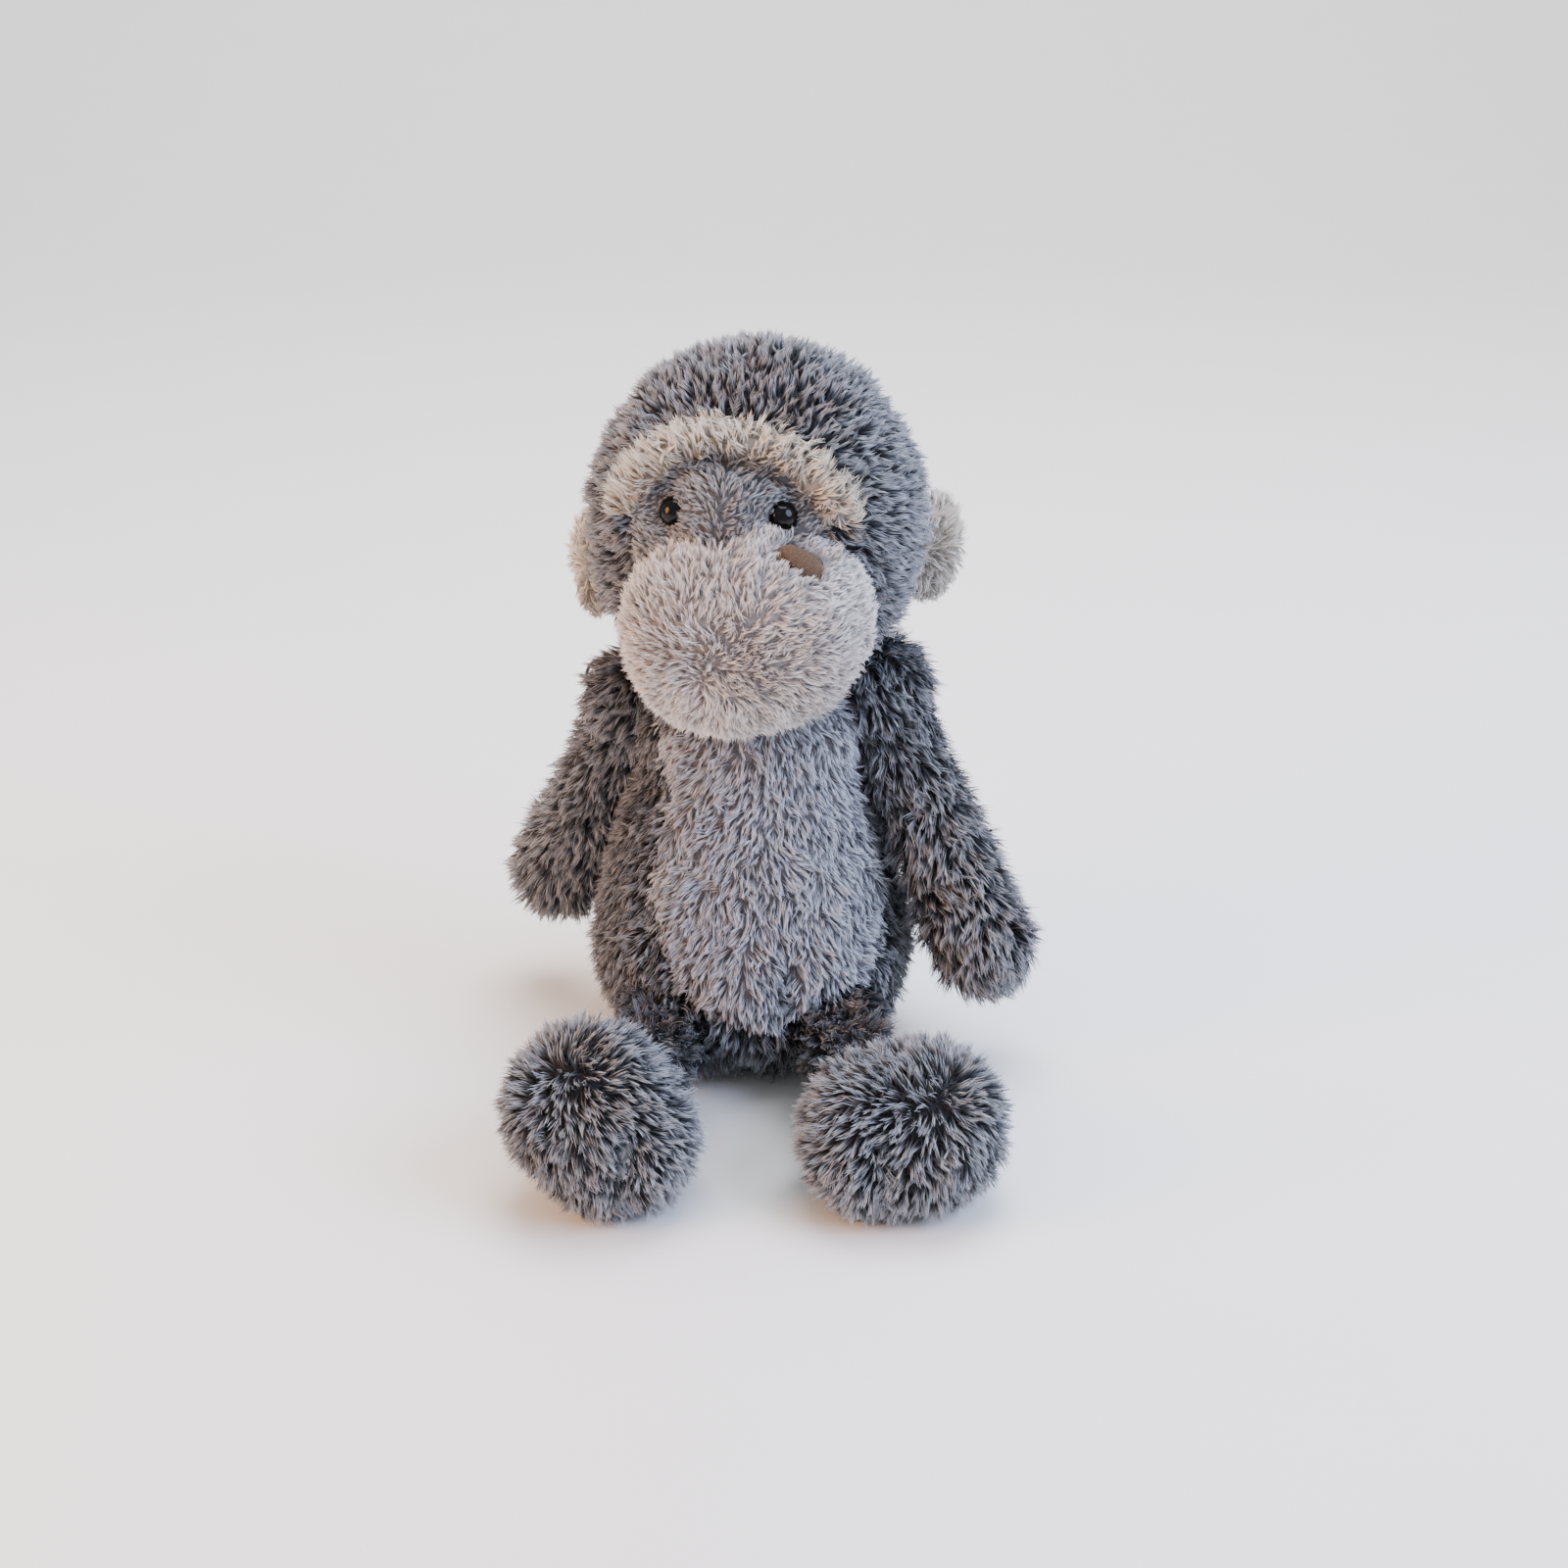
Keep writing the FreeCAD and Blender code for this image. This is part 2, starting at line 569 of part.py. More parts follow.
def head():
    outer, inner = ball("head_form", "head_radius"), ball("head_lining", "head_radius - skin_wall")
    muzzle_outer, muzzle_inner = muzzle_form("muzzle_outside", "0"), muzzle_form("muzzle_lining", "skin_wall")
    eye_room = eyes()
    shell = cut("head_shell", outer, inner, muzzle_outer)

    def face_rod(name, radius):
        rod_shape = rod(name, radius, str(FAR), (0, 0, -size["face_drop"]), about(X_AXIS, 90.0))
        bind(rod_shape, **{"Placement.Base.z": "-1 * face_drop"})
        return rod_shape

    face_zone, brow_zone = face_rod("face_zone", "face_radius"), face_rod("brow_zone", "face_radius + brow_width")
    face = common("face_shell", shell, face_zone)
    tools = [tool for seat, bore, _ in eye_room for tool in (seat, bore)]
    node(cut("face", face, *tools), "face_panel", head_frame)
    above = block("brow_side", (-FAR, -FAR, 0), (FAR, FAR, FAR))
    bind(above, **{"Placement.Base.z": "brow_foot"})
    brow_block = common("brow_block", cut("brow_band", brow_zone, face_zone), above)
    node(common("brow", shell, brow_block), "brow_panel", head_frame)
    rest = cut("head_rest", shell, face_zone, brow_block)
    middle = block("crown_zone", (-size["crown_half_width"], -FAR, -FAR), (size["crown_half_width"], FAR, FAR))
    bind(middle, Length="crown_half_width * 2", **{"Placement.Base.x": "-1 * crown_half_width"})
    node(common("crown", rest, middle), "head_crown", head_frame)
    for side, sign in SIDES:
        half = block(f"head_half_{side}", (min(0, sign * FAR), -FAR, -FAR), (max(0, sign * FAR), FAR, FAR))
        node(common(f"head_{side}", cut(f"head_side_rest_{side}", rest, middle), half),
             f"head_side_{side}", head_frame)
    muzzle(outer, muzzle_outer, muzzle_inner)
    head_fill = ball("head_fill", "head_radius - skin_wall - fill_gap")
    muzzle_fill = muzzle_form("muzzle_fill", "skin_wall + fill_gap")
    stuffing = fuse("head_stuffing_form", head_fill, muzzle_fill)
    node(cut("head_stuffing_cut", stuffing, *[back for _, _, back in eye_room]), "head_stuffing", head_frame)


def muzzle(head_outer, muzzle_outer, muzzle_inner):
    frame = muzzle_frame()
    shell = cut("muzzle_shell", muzzle_outer, muzzle_inner, head_outer)
    twist = about(Y_AXIS, SEAM_ROLL)
    middle = twist.multVec(direction(0.0, NOSE_TILT)) * (size["muzzle_radius"] - size["nose_sink"])
    middle.x += size["muzzle_spacing"] / 2
    nose = bean("nose_form", "nose_radius", "nose_radius", "nose_spacing", "0",
                frame * FreeCAD.Placement(middle, twist * about(Y_AXIS, 90.0)))
    seams = frame * FreeCAD.Placement(FreeCAD.Vector(), twist)
    node(cut("nose_cut", nose, muzzle_inner), "nose", head_frame)
    lean = about(X_AXIS, SEAM_LEAN)
    front = block("muzzle_front_zone", (-FAR, -FAR, -FAR), (FAR, 0, FAR), lean,
                  tuple(lean.multVec(FreeCAD.Vector(0, -size["muzzle_seam_front"], 0))))
    in_frame(front, seams)
    node(common("muzzle_front", cut("muzzle_rest", shell, nose), front), "muzzle_front_panel", head_frame)
    upper = cut("muzzle_upper", shell, nose, front)
    for side, sign in SIDES:
        half = block(f"muzzle_half_{side}", (min(0, sign * FAR), -FAR, -FAR), (max(0, sign * FAR), FAR, FAR))
        in_frame(half, seams)
        node(common(f"muzzle_{side}", upper, half), f"muzzle_side_{side}", head_frame)


def ears():
    for side, sign in SIDES:
        out = direction(sign * 90.0, EAR_TILT[side])
        centre = out * (size["head_radius"] + size["ear_gap"])
        swept = about(Z_AXIS, sign * EAR_SWEEP)
        centre += swept.multVec(FreeCAD.Vector(sign * size["ear_radius"], 0, 0))
        upright = FreeCAD.Placement(FreeCAD.Vector(), about(X_AXIS, 90.0))
        form = pillow(f"ear_form_{side}", "ear_radius", "ear_thick", upright)
        for word, low in (("front", -FAR), ("back", 0.0)):
            half = block(f"ear_half_{word}_{side}", (-FAR, low, -FAR), (FAR, low + FAR, FAR))
            node(common(f"ear_{word}_{side}_half", form, half), f"ear_{word}_{side}",
                 head_frame * FreeCAD.Placement(centre, swept))


def neck_ring():
    """The gathering thread that closes the neck, between the head and the torso."""
    reach = size["head_radius"] + size["neck_gap"] / 2
    drop = math.sqrt(reach ** 2 - size["neck_ring_radius"] ** 2)
    node(ring("neck_thread", "neck_ring_radius", "thread_radius"), "neck_seam",
         FreeCAD.Placement(head_at - FreeCAD.Vector(0, 0, drop), FreeCAD.Rotation()))


def limbs():
    """Arms and legs: a skin, its stuffing and the seam thread round the root."""
    for side, _ in SIDES:
        for word, frame in zip(("arm", "leg"), frames[side]):
            sizes = (f"{word}_root", f"{word}_tip", f"{word}_length")
            outer = limb(f"{word}_form_{side}", *sizes, "0", frame)
            inner = limb(f"{word}_lining_{side}", *sizes, "skin_wall", frame)
            node(cut(f"{word}_shell_{side}", outer, inner), f"{word}_skin_{side}")
            node(limb(f"{word}_fill_{side}", *sizes, "skin_wall + fill_gap", frame),
                 f"{word}_stuffing_{side}")
            seam = "shoulder" if word == "arm" else "hip"
            node(ring(f"{seam}_thread_{side}", f"{word}_root + seam_gap / 2", "thread_radius"),
                 f"{seam}_seam_{side}", frame)


def foot_frame(side):
    """A foot's frame: at its middle, +Z along its long axis and -Y out of its sole."""
    leg = frames[side][1]
    sign = dict(SIDES)[side]
    ahead = leg.Rotation.multVec(FreeCAD.Vector(0, 0, size["leg_length"] + size["foot_ahead"]))
    turn = about(Z_AXIS, sign * LEG_TURN[side]) * about(Y_AXIS, sign * FOOT_ROLL[side])
    return FreeCAD.Placement(leg.Base + ahead, turn)


def feet():
    for side, _ in SIDES:
        leg, frame = frames[side][1], foot_frame(side)
        ankle = leg.Base + leg.Rotation.multVec(FreeCAD.Vector(0, 0, size["leg_length"]))

        def form(name, inset):
            return bean(name, "heel_radius", "toe_radius", "foot_spacing", inset, frame)

        room = ball(f"ankle_room_{side}", "leg_tip + ankle_gap", tuple(ankle), leg.Rotation)
        fill_room = ball(f"ankle_fill_room_{side}", "leg_tip + ankle_gap + skin_wall", tuple(ankle),
                         leg.Rotation)
        shell = cut(f"foot_shell_{side}", form(f"foot_form_{side}", "0"),
                    form(f"foot_lining_{side}", "skin_wall"), room)
        front = block(f"sole_zone_{side}", (-FAR, -FAR, -FAR), (FAR, 0, FAR))
        front.Placement = (frame * FreeCAD.Placement(FreeCAD.Vector(0, size["sole_back"], 0),
                                                     FreeCAD.Rotation()) * front.Placement)
        node(common(f"sole_{side}", shell, front), f"foot_sole_{side}")
        node(cut(f"foot_upper_{side}_cut", shell, front), f"foot_upper_{side}")
        fill = cut(f"foot_fill_{side}", form(f"foot_fill_form_{side}", "skin_wall + fill_gap"), fill_room)
        low = tuple(frame.Base + FreeCAD.Vector(0, -size["heel_radius"] / 4, -size["heel_radius"] / 4))
        beans = common(f"beans_{side}", ball(f"bean_form_{side}", "bean_radius", low), fill)
        node(beans, f"foot_bean_bag_{side}")
        keep = ball(f"bean_room_{side}", "bean_radius + fill_gap", low)
        node(cut(f"foot_stuffing_{side}_cut", fill, keep), f"foot_stuffing_{side}")


torso()
closing_stitches()
neck_ring()
head()
ears()
limbs()
feet()
doc.recompute()

for thing in doc.Objects:
    if "Invalid" in thing.State or "Error" in thing.State:
        raise RuntimeError(f"{thing.Name} failed: {thing.State}")

os.makedirs("parts", exist_ok=True)
for thing in nodes:
    if thing.Shape.isNull() or not thing.Shape.isValid():
        raise RuntimeError(f"{thing.Label} has no valid shape")
    path = f"parts/{thing.Label}.step"
    thing.Shape.exportStep(path)
    written = Part.Shape()
    written.read(path)
    if abs(written.Volume - thing.Shape.Volume) > WRITTEN_WITHIN * thing.Shape.Volume:
        raise RuntimeError(f"{thing.Label} changes when it is written")

box = FreeCAD.BoundBox()
for thing in nodes:
    box.add(thing.Shape.BoundBox)
print("nodes", len(nodes), "box", [round(v, 1) for v in (box.XMin, box.YMin, box.ZMin, box.XMax, box.YMax, box.ZMax)])
print("pivot head", tuple(round(v, 3) for v in head_at))
for side, sign in SIDES:
    shoulder, hip = frames[side]
    print("pivot shoulder", side, tuple(round(v, 3) for v in shoulder.Base))
    print("pivot hip", side, tuple(round(v, 3) for v in hip.Base))
    ankle = hip.Base + hip.Rotation.multVec(FreeCAD.Vector(0, 0, size["leg_length"]))
    print("pivot ankle", side, tuple(round(v, 3) for v in ankle))
    root = direction(sign * 90.0, EAR_TILT[side]) * (size["head_radius"] + size["ear_gap"])
    print("pivot ear", side, tuple(round(v, 3) for v in head_frame.multVec(root)))
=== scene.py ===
"""A seated plush ape: sewn panels of pile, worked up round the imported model."""

import json
import math

import bmesh
import bpy
import numpy as np
from bpy.props import FloatProperty, FloatVectorProperty, PointerProperty
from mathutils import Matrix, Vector, noise
from mathutils.bvhtree import BVHTree

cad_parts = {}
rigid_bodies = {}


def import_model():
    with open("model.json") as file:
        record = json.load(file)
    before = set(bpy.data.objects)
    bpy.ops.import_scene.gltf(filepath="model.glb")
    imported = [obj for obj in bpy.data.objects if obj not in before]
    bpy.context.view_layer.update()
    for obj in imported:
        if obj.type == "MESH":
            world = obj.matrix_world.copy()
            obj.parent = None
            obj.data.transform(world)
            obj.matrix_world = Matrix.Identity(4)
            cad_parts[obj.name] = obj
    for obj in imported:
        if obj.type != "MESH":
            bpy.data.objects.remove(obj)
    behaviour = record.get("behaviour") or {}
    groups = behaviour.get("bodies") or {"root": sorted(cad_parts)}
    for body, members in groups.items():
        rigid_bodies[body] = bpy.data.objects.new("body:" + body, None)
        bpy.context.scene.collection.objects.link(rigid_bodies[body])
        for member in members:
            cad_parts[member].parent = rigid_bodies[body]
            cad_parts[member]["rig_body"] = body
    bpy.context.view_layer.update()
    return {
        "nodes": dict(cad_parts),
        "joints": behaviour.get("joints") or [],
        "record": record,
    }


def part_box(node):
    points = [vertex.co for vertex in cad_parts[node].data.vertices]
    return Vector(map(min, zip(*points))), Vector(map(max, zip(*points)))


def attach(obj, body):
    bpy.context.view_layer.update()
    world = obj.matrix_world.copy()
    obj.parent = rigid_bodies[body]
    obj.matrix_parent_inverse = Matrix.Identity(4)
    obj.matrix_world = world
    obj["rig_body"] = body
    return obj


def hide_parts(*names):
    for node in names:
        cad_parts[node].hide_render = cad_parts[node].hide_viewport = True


for spare in list(bpy.data.objects):
    bpy.data.objects.remove(spare)
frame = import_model()

bl_info = {
    "name": "Plush ape",
    "version": (1, 0, 0),
    "blender": (4, 5, 0),
    "location": "3D View > Sidebar > Plush",
    "description": "Builds the looks of a seated plush ape on its packed model",
    "category": "Object",
}

MM = 0.001
THREAD_DRAWN = 0.84                  # a gathering thread's ring, as a share of its packed size
SIDES = {"left": 1, "right": -1}
JOINTS = {joint["name"]: joint for joint in frame["joints"]}
SLOT_OF = {part["node"]: part["material_slot"] for part in frame["record"]["subparts"]}


# ---------------------------------------------------------------- sizes and colours


def linear(code):
    """An sRGB hex colour as linear red, green, blue and alpha."""
    parts = [int(code[i:i + 2], 16) / 255 for i in (1, 3, 5)]
    return tuple(p / 12.92 if p <= 0.04045 else ((p + 0.055) / 1.055) ** 2.4 for p in parts) + (1.0,)


def length(name, words, millimetres):
    """A size that a user may change, in metres."""
    return FloatProperty(name=name, description=words, default=millimetres * MM, unit="LENGTH", precision=5)


def colour(name, words, code):
    """A colour that a user may change."""
    return FloatVectorProperty(
        name=name, description=words, default=linear(code), size=4, subtype="COLOR", min=0, max=1)


class ApeSizes(bpy.types.PropertyGroup):
    """Sizes of the cloth and its pile."""

    voxel: length("Cloth mesh", "Edge length of the cloth's mesh", 2.2)
    sink: length("Cloth depth", "How far the cloth lies inside the packed model's surface", 0.6)
    cloth: length("Cloth thickness", "Thickness of the knitted backing", 1.2)
    dark_length: length("Dark pile", "Length of the dark pile's locks", 8.5)
    arm_length: length("Arm pile", "Length of the locks on the arms", 10.5)
    belly_length: length("Belly pile", "Length of the belly's locks", 6.2)
    muzzle_length: length("Muzzle pile", "Length of the muzzle's locks", 4.8)
    face_length: length("Face pile", "Length of the face's locks", 3.8)
    crown_length: length("Crown pile", "Length of the locks on top of the head", 7.2)
    brow_length: length("Brow pile", "Length of the brow's locks", 7.5)
    ear_length: length("Ear pile", "Length of the ears' locks", 6.0)
    spacing: length("Lock spacing", "Distance between the roots of two locks", 1.22)
    blade: length("Blade width", "Width of one blade of a lock at its root", 0.55)
    tuft: length("Tuft size", "Distance over which locks lean the same way", 4.5)


class ApeColours(bpy.types.PropertyGroup):
    """Colours of the pile, from root to tip, and of the trims."""

    dark_root: colour("Dark root", "Dark pile at its root", "#242427")
    dark_mid: colour("Dark middle", "Dark pile half way up", "#55575b")
    dark_tip: colour("Dark tip", "Frosted tips of the dark pile", "#bcbfc5")
    belly_root: colour("Belly root", "Belly pile at its root", "#6d6c70")
    belly_mid: colour("Belly middle", "Belly pile half way up", "#a4a7af")
    belly_tip: colour("Belly tip", "Belly pile at its tip", "#d4d7de")
    # The cream root is darker than the pile's own colour: painted shade deep between the locks.
    cream_root: colour("Cream root", "Brow and ear pile at its root", "#aaa195")
    cream_mid: colour("Cream middle", "Brow and ear pile half way up", "#dfd7ca")
    cream_tip: colour("Cream tip", "Brow and ear pile at its tip", "#f6f0e6")
    face_root: colour("Face root", "Face pile at its root", "#5b5c5e")
    face_mid: colour("Face middle", "Face pile half way up", "#8f9194")
    face_tip: colour("Face tip", "Face pile at its tip", "#c4c6c9")
    muzzle_root: colour("Muzzle root", "Muzzle pile at its root", "#a09997")
    muzzle_mid: colour("Muzzle middle", "Muzzle pile half way up", "#cbc5c2")
    muzzle_tip: colour("Muzzle tip", "Muzzle pile at its tip", "#f0ebe8")
    suede: colour("Suede", "Nose", "#503f32")
    eye: colour("Eye", "Moulded eyes", "#050506")
    floor: colour("Floor", "Floor and backdrop", "#f1f0ee")


def sizes():
    return bpy.context.scene.ape_sizes


def colours():
    return bpy.context.scene.ape_colours


# ---------------------------------------------------------------- nodes and materials


def add(tree, kind, settings=None, links=None):
    """Adds a node with its settings, then its links.

    A key that is no property of the node is one of its inputs, stops are those of a colour ramp, and
    a link from a node comes from its first output.
    """
    node = tree.nodes.new(kind)
    settings = dict(settings or {})
    stops = settings.pop("stops", ())
    properties = [key for key in settings if str(key).islower() and hasattr(node, key)]
    for key in properties:
        setattr(node, key, settings.pop(key))
    for key, value in settings.items():
        node.inputs[key].default_value = value
    for _ in stops[2:]:
        node.color_ramp.elements.new(0.5)
    for index, (place, shade) in enumerate(stops):
        element = node.color_ramp.elements[index]
        element.position, element.color = place, shade
    for key, source in (links or {}).items():
        tree.links.new(source.outputs[0] if hasattr(source, "outputs") else source, node.inputs[key])
    return node


def new_material(name, settings):
    """A material with one Principled shader, and its tree."""
    material = bpy.data.materials.new(name)
    material.use_nodes = True
    tree = material.node_tree
    tree.nodes.clear()
    shader = add(tree, "ShaderNodeBsdfPrincipled", settings)
    add(tree, "ShaderNodeOutputMaterial", None, {"Surface": shader.outputs["BSDF"]})
    return material, tree, shader


def pile_material(name, root, middle, tip, light, sheen=0.25):
    """Knitted pile: each blade runs from a dark root to a frosted tip, and each lock has its own tone.

    Light holds how bright the darkest, the middle and the palest locks are.
    """
    material, tree, shader = new_material(name, {
        "Roughness": 0.82, "IOR": 1.5, "Specular IOR Level": 0.28,
        "Sheen Weight": sheen, "Sheen Roughness": 0.45, "Sheen Tint": tuple(tip)})
    place = add(tree, "ShaderNodeUVMap", {"uv_map": PILE_MAP})
    parts = add(tree, "ShaderNodeSeparateXYZ", None, {"Vector": place})
    along = add(tree, "ShaderNodeValToRGB", {"stops": [
        (0.0, tuple(root)), (0.15, tuple(root)), (0.5, tuple(middle)), (0.95, tuple(tip))]},
        {"Fac": parts.outputs["Y"]})
    tone = add(tree, "ShaderNodeValToRGB", {"stops": [
        (share, (bright,) * 3 + (1,)) for share, bright in zip((0.0, 0.5, 1.0), light)]},
        {"Fac": parts.outputs["X"]})
    mixed = add(tree, "ShaderNodeMix", {
        "data_type": "RGBA", "blend_type": "MULTIPLY", "clamp_result": True, 0: 1.0},
        {6: along, 7: tone})
    tree.links.new(mixed.outputs[2], shader.inputs["Base Color"])
    return material


def worked(tree, shader, pattern, stops, strength=0.0, depth=0.0):
    """Leads a pattern to the shader's base colour, through stops, and to its relief."""
    shade = add(tree, "ShaderNodeValToRGB", {"stops": stops}, {"Fac": pattern})
    tree.links.new(shade.outputs["Color"], shader.inputs["Base Color"])
    if strength:
        relief = add(tree, "ShaderNodeBump", {"Strength": strength, "Distance": depth}, {"Height": pattern})
        tree.links.new(relief.outputs["Normal"], shader.inputs["Normal"])


def suede_material():
    """Suedette, a brushed knit: soft and matt, with lighter nap where it is rubbed."""
    material, tree, shader = new_material("brushed_suedette", {
        "Roughness": 0.9, "Specular IOR Level": 0.2, "Sheen Weight": 0.6, "Sheen Roughness": 0.35,
        "Sheen Tint": linear("#8f745a")})
    place = add(tree, "ShaderNodeTexCoord")
    nap = add(tree, "ShaderNodeTexNoise", {"Scale": 1 / (0.5 * MM), "Detail": 4.0, "Roughness": 0.7},
              {"Vector": place.outputs["Object"]})
    base = np.array(colours().suede[:])
    worked(tree, shader, nap.outputs["Fac"], [
        (0.3, tuple(base * (0.45, 0.45, 0.45, 1))),
        (0.72, tuple(np.minimum(base * (1.55, 1.5, 1.4, 1), 1)))], 0.7, 0.25 * MM)
    return material


def eye_material():
    """Moulded black plastic: a wet-looking gloss with faint rubbing marks."""
    material, tree, shader = new_material("moulded_eye_plastic", {
        "IOR": 1.49, "Specular IOR Level": 0.22})
    place = add(tree, "ShaderNodeTexCoord")
    marks = add(tree, "ShaderNodeTexNoise", {"Scale": 1 / (1.2 * MM), "Detail": 5.0, "Roughness": 0.55},
                {"Vector": place.outputs["Object"]})
    worked(tree, shader, marks.outputs["Fac"], [(0.35, tuple(colours().eye)), (0.8, linear("#0c0b0c"))])
    rough = add(tree, "ShaderNodeMapRange", {"To Min": 0.04, "To Max": 0.12},
                {"Value": marks.outputs["Fac"]})
    tree.links.new(rough.outputs["Result"], shader.inputs["Roughness"])
    return material


def washer_material():
    """Natural polyamide: a milky plastic with a fine moulded grain."""
    material, tree, shader = new_material("moulded_washer_plastic", {
        "IOR": 1.53, "Roughness": 0.42, "Specular IOR Level": 0.5})
    place = add(tree, "ShaderNodeTexCoord")
    grain = add(tree, "ShaderNodeTexNoise", {"Scale": 1 / (0.8 * MM), "Detail": 4.0, "Roughness": 0.55},
                {"Vector": place.outputs["Object"]})
    worked(tree, shader, grain.outputs["Fac"], [
        (0.3, linear("#cfc9bb")), (0.75, linear("#e6e1d6"))], 0.3, 0.05 * MM)
    return material


def thread_material():
    """Twisted polyester sewing thread: two plies that catch the light in slanting bands."""
    material, tree, shader = new_material("twisted_thread", {
        "Roughness": 0.55, "Specular IOR Level": 0.4, "Sheen Weight": 0.3})
    place = add(tree, "ShaderNodeTexCoord")
    plies = add(tree, "ShaderNodeTexWave", {
        "wave_type": "BANDS", "bands_direction": "DIAGONAL", "Scale": 0.35 / MM, "Distortion": 0.6},
        {"Vector": place.outputs["Object"]})
    worked(tree, shader, plies.outputs["Fac"], [
        (0.2, linear("#151517")), (0.8, linear("#3b3c41"))], 0.8, 0.15 * MM)
    return material


def fill_material():
    """Crimped polyester fibre: a white mass of fine curls."""
    material, tree, shader = new_material("crimped_polyester_fibre", {
        "Roughness": 0.95, "Specular IOR Level": 0.15, "Sheen Weight": 0.5, "Sheen Roughness": 0.6})
    place = add(tree, "ShaderNodeTexCoord")
    curls = add(tree, "ShaderNodeTexNoise", {"Scale": 1 / (3.0 * MM), "Detail": 6.0, "Roughness": 0.75},
                {"Vector": place.outputs["Object"]})
    worked(tree, shader, curls.outputs["Fac"], [
        (0.3, linear("#d9d7d2")), (0.7, linear("#f6f5f2"))], 0.9, 1.5 * MM)
    return material


def calico_material():
    """Plain woven cotton: threads over and under each other at half a millimetre."""
    material, tree, shader = new_material("plain_woven_cotton", {
        "Roughness": 0.88, "Specular IOR Level": 0.2, "Sheen Weight": 0.2})
    place = add(tree, "ShaderNodeTexCoord")
    threads = [add(tree, "ShaderNodeTexWave", {
        "wave_type": "BANDS", "bands_direction": way, "Scale": 0.3 / MM, "Distortion": 0.3},
        {"Vector": place.outputs["Object"]}) for way in ("X", "Z")]
    weave = add(tree, "ShaderNodeMath", {"operation": "MULTIPLY"},
                {index: thread.outputs["Fac"] for index, thread in enumerate(threads)})
    worked(tree, shader, weave.outputs["Value"], [
        (0.0, linear("#c9c2b2")), (0.9, linear("#ebe6da"))], 0.5, 0.2 * MM)
    return material


def pellet_material():
    """Loose moulded beads about three millimetres across, packed together."""
    material, tree, shader = new_material("packed_plastic_pellets", {"Roughness": 0.35, "IOR": 1.5})
    place = add(tree, "ShaderNodeTexCoord")
    beads = add(tree, "ShaderNodeTexVoronoi", {"Scale": 0.33 / MM}, {"Vector": place.outputs["Object"]})
    # Each bead is pale at its middle and darker towards its edges: painted shade in the crevices between the
    # packed beads.
    worked(tree, shader, beads.outputs["Distance"], [
        (0.1, linear("#efece4")), (0.6, linear("#a9a498"))], -0.9, 1.2 * MM)
    return material


MATERIALS = {}


def material_for(slot):
    """The material of one of the record's slots, made when first asked for."""
    c = colours()
    piles = {
        # Tipped pile: near black at the root, and frosted where the tips catch the light.
        "dark_pile": ("frosted_dark_pile", c.dark_root, c.dark_mid, c.dark_tip, (0.42, 0.82, 1.0)),
        # Short dense pile in a cool lilac grey, with little change from root to tip.
        "belly_pile": ("lilac_belly_pile", c.belly_root, c.belly_mid, c.belly_tip, (0.6, 0.9, 1.0)),
        # Fluffed undyed pile: warm cream, and darker only deep between its locks, where its roots carry
        # painted shade.
        "cream_pile": ("cream_brow_pile", c.cream_root, c.cream_mid, c.cream_tip, (0.45, 0.85, 1.0)),
        # Sheared pile: short and even in a mid grey, which shows the face's swells.
        "face_pile": ("short_face_pile", c.face_root, c.face_mid, c.face_tip, (0.5, 0.85, 1.0), 0.2),
        # Soft pile in a pale beige: the brightest part of the toy.
        "muzzle_pile": (
            "soft_muzzle_pile", c.muzzle_root, c.muzzle_mid, c.muzzle_tip, (0.6, 0.9, 1.0)),
    }
    makers = {
        "nose_suede": suede_material,
        "eye_plastic": eye_material,
        "washer_plastic": washer_material,
        "polyester_fill": fill_material,
        "pouch_cloth": calico_material,
        "pellets": pellet_material,
        "thread": thread_material,
    }
    if slot not in MATERIALS:
        MATERIALS[slot] = pile_material(*piles[slot]) if slot in piles else makers[slot]()
    return MATERIALS[slot]


# ---------------------------------------------------------------- cloth shapes


def link(name, mesh):
    """A new object for a mesh, at the origin."""
    thing = bpy.data.objects.new(name, mesh)
    bpy.context.scene.collection.objects.link(thing)
    return thing


def plain(thing):
    """The object's evaluated mesh, as a plain mesh."""
    graph = bpy.context.evaluated_depsgraph_get()
    return bpy.data.meshes.new_from_object(thing.evaluated_get(graph), depsgraph=graph)


SEAM_DEPTH = 1.4                     # how far a seam is drawn in, in millimetres
SEAM_WIDTH = 2.6                     # and how far to each side of it


def points_of(mesh):
    """The mesh's points, in millimetres."""
    flat = np.empty(len(mesh.vertices) * 3)
    mesh.vertices.foreach_get("co", flat)
    return flat.reshape(-1, 3) / MM


def set_points(mesh, points):
    """Puts back the mesh's points, given in millimetres."""
    mesh.vertices.foreach_set("co", (points * MM).ravel())
    mesh.update()


def normals_of(mesh):
    flat = np.empty(len(mesh.vertices) * 3)
    mesh.vertices.foreach_get("normal", flat)
    return flat.reshape(-1, 3)


def shells_of(bm):
    """The separate shells of a mesh, each a list of its points."""
    seen, shells = set(), []
    for start in bm.verts:
        if start in seen:
            continue
        seen.add(start)
        shell, rest = [start], [start]
        while rest:
            for edge in rest.pop().link_edges:
                for vert in edge.verts:
                    if vert not in seen:
                        seen.add(vert)
                        shell.append(vert)
                        rest.append(vert)
        shells.append(shell)
    return shells


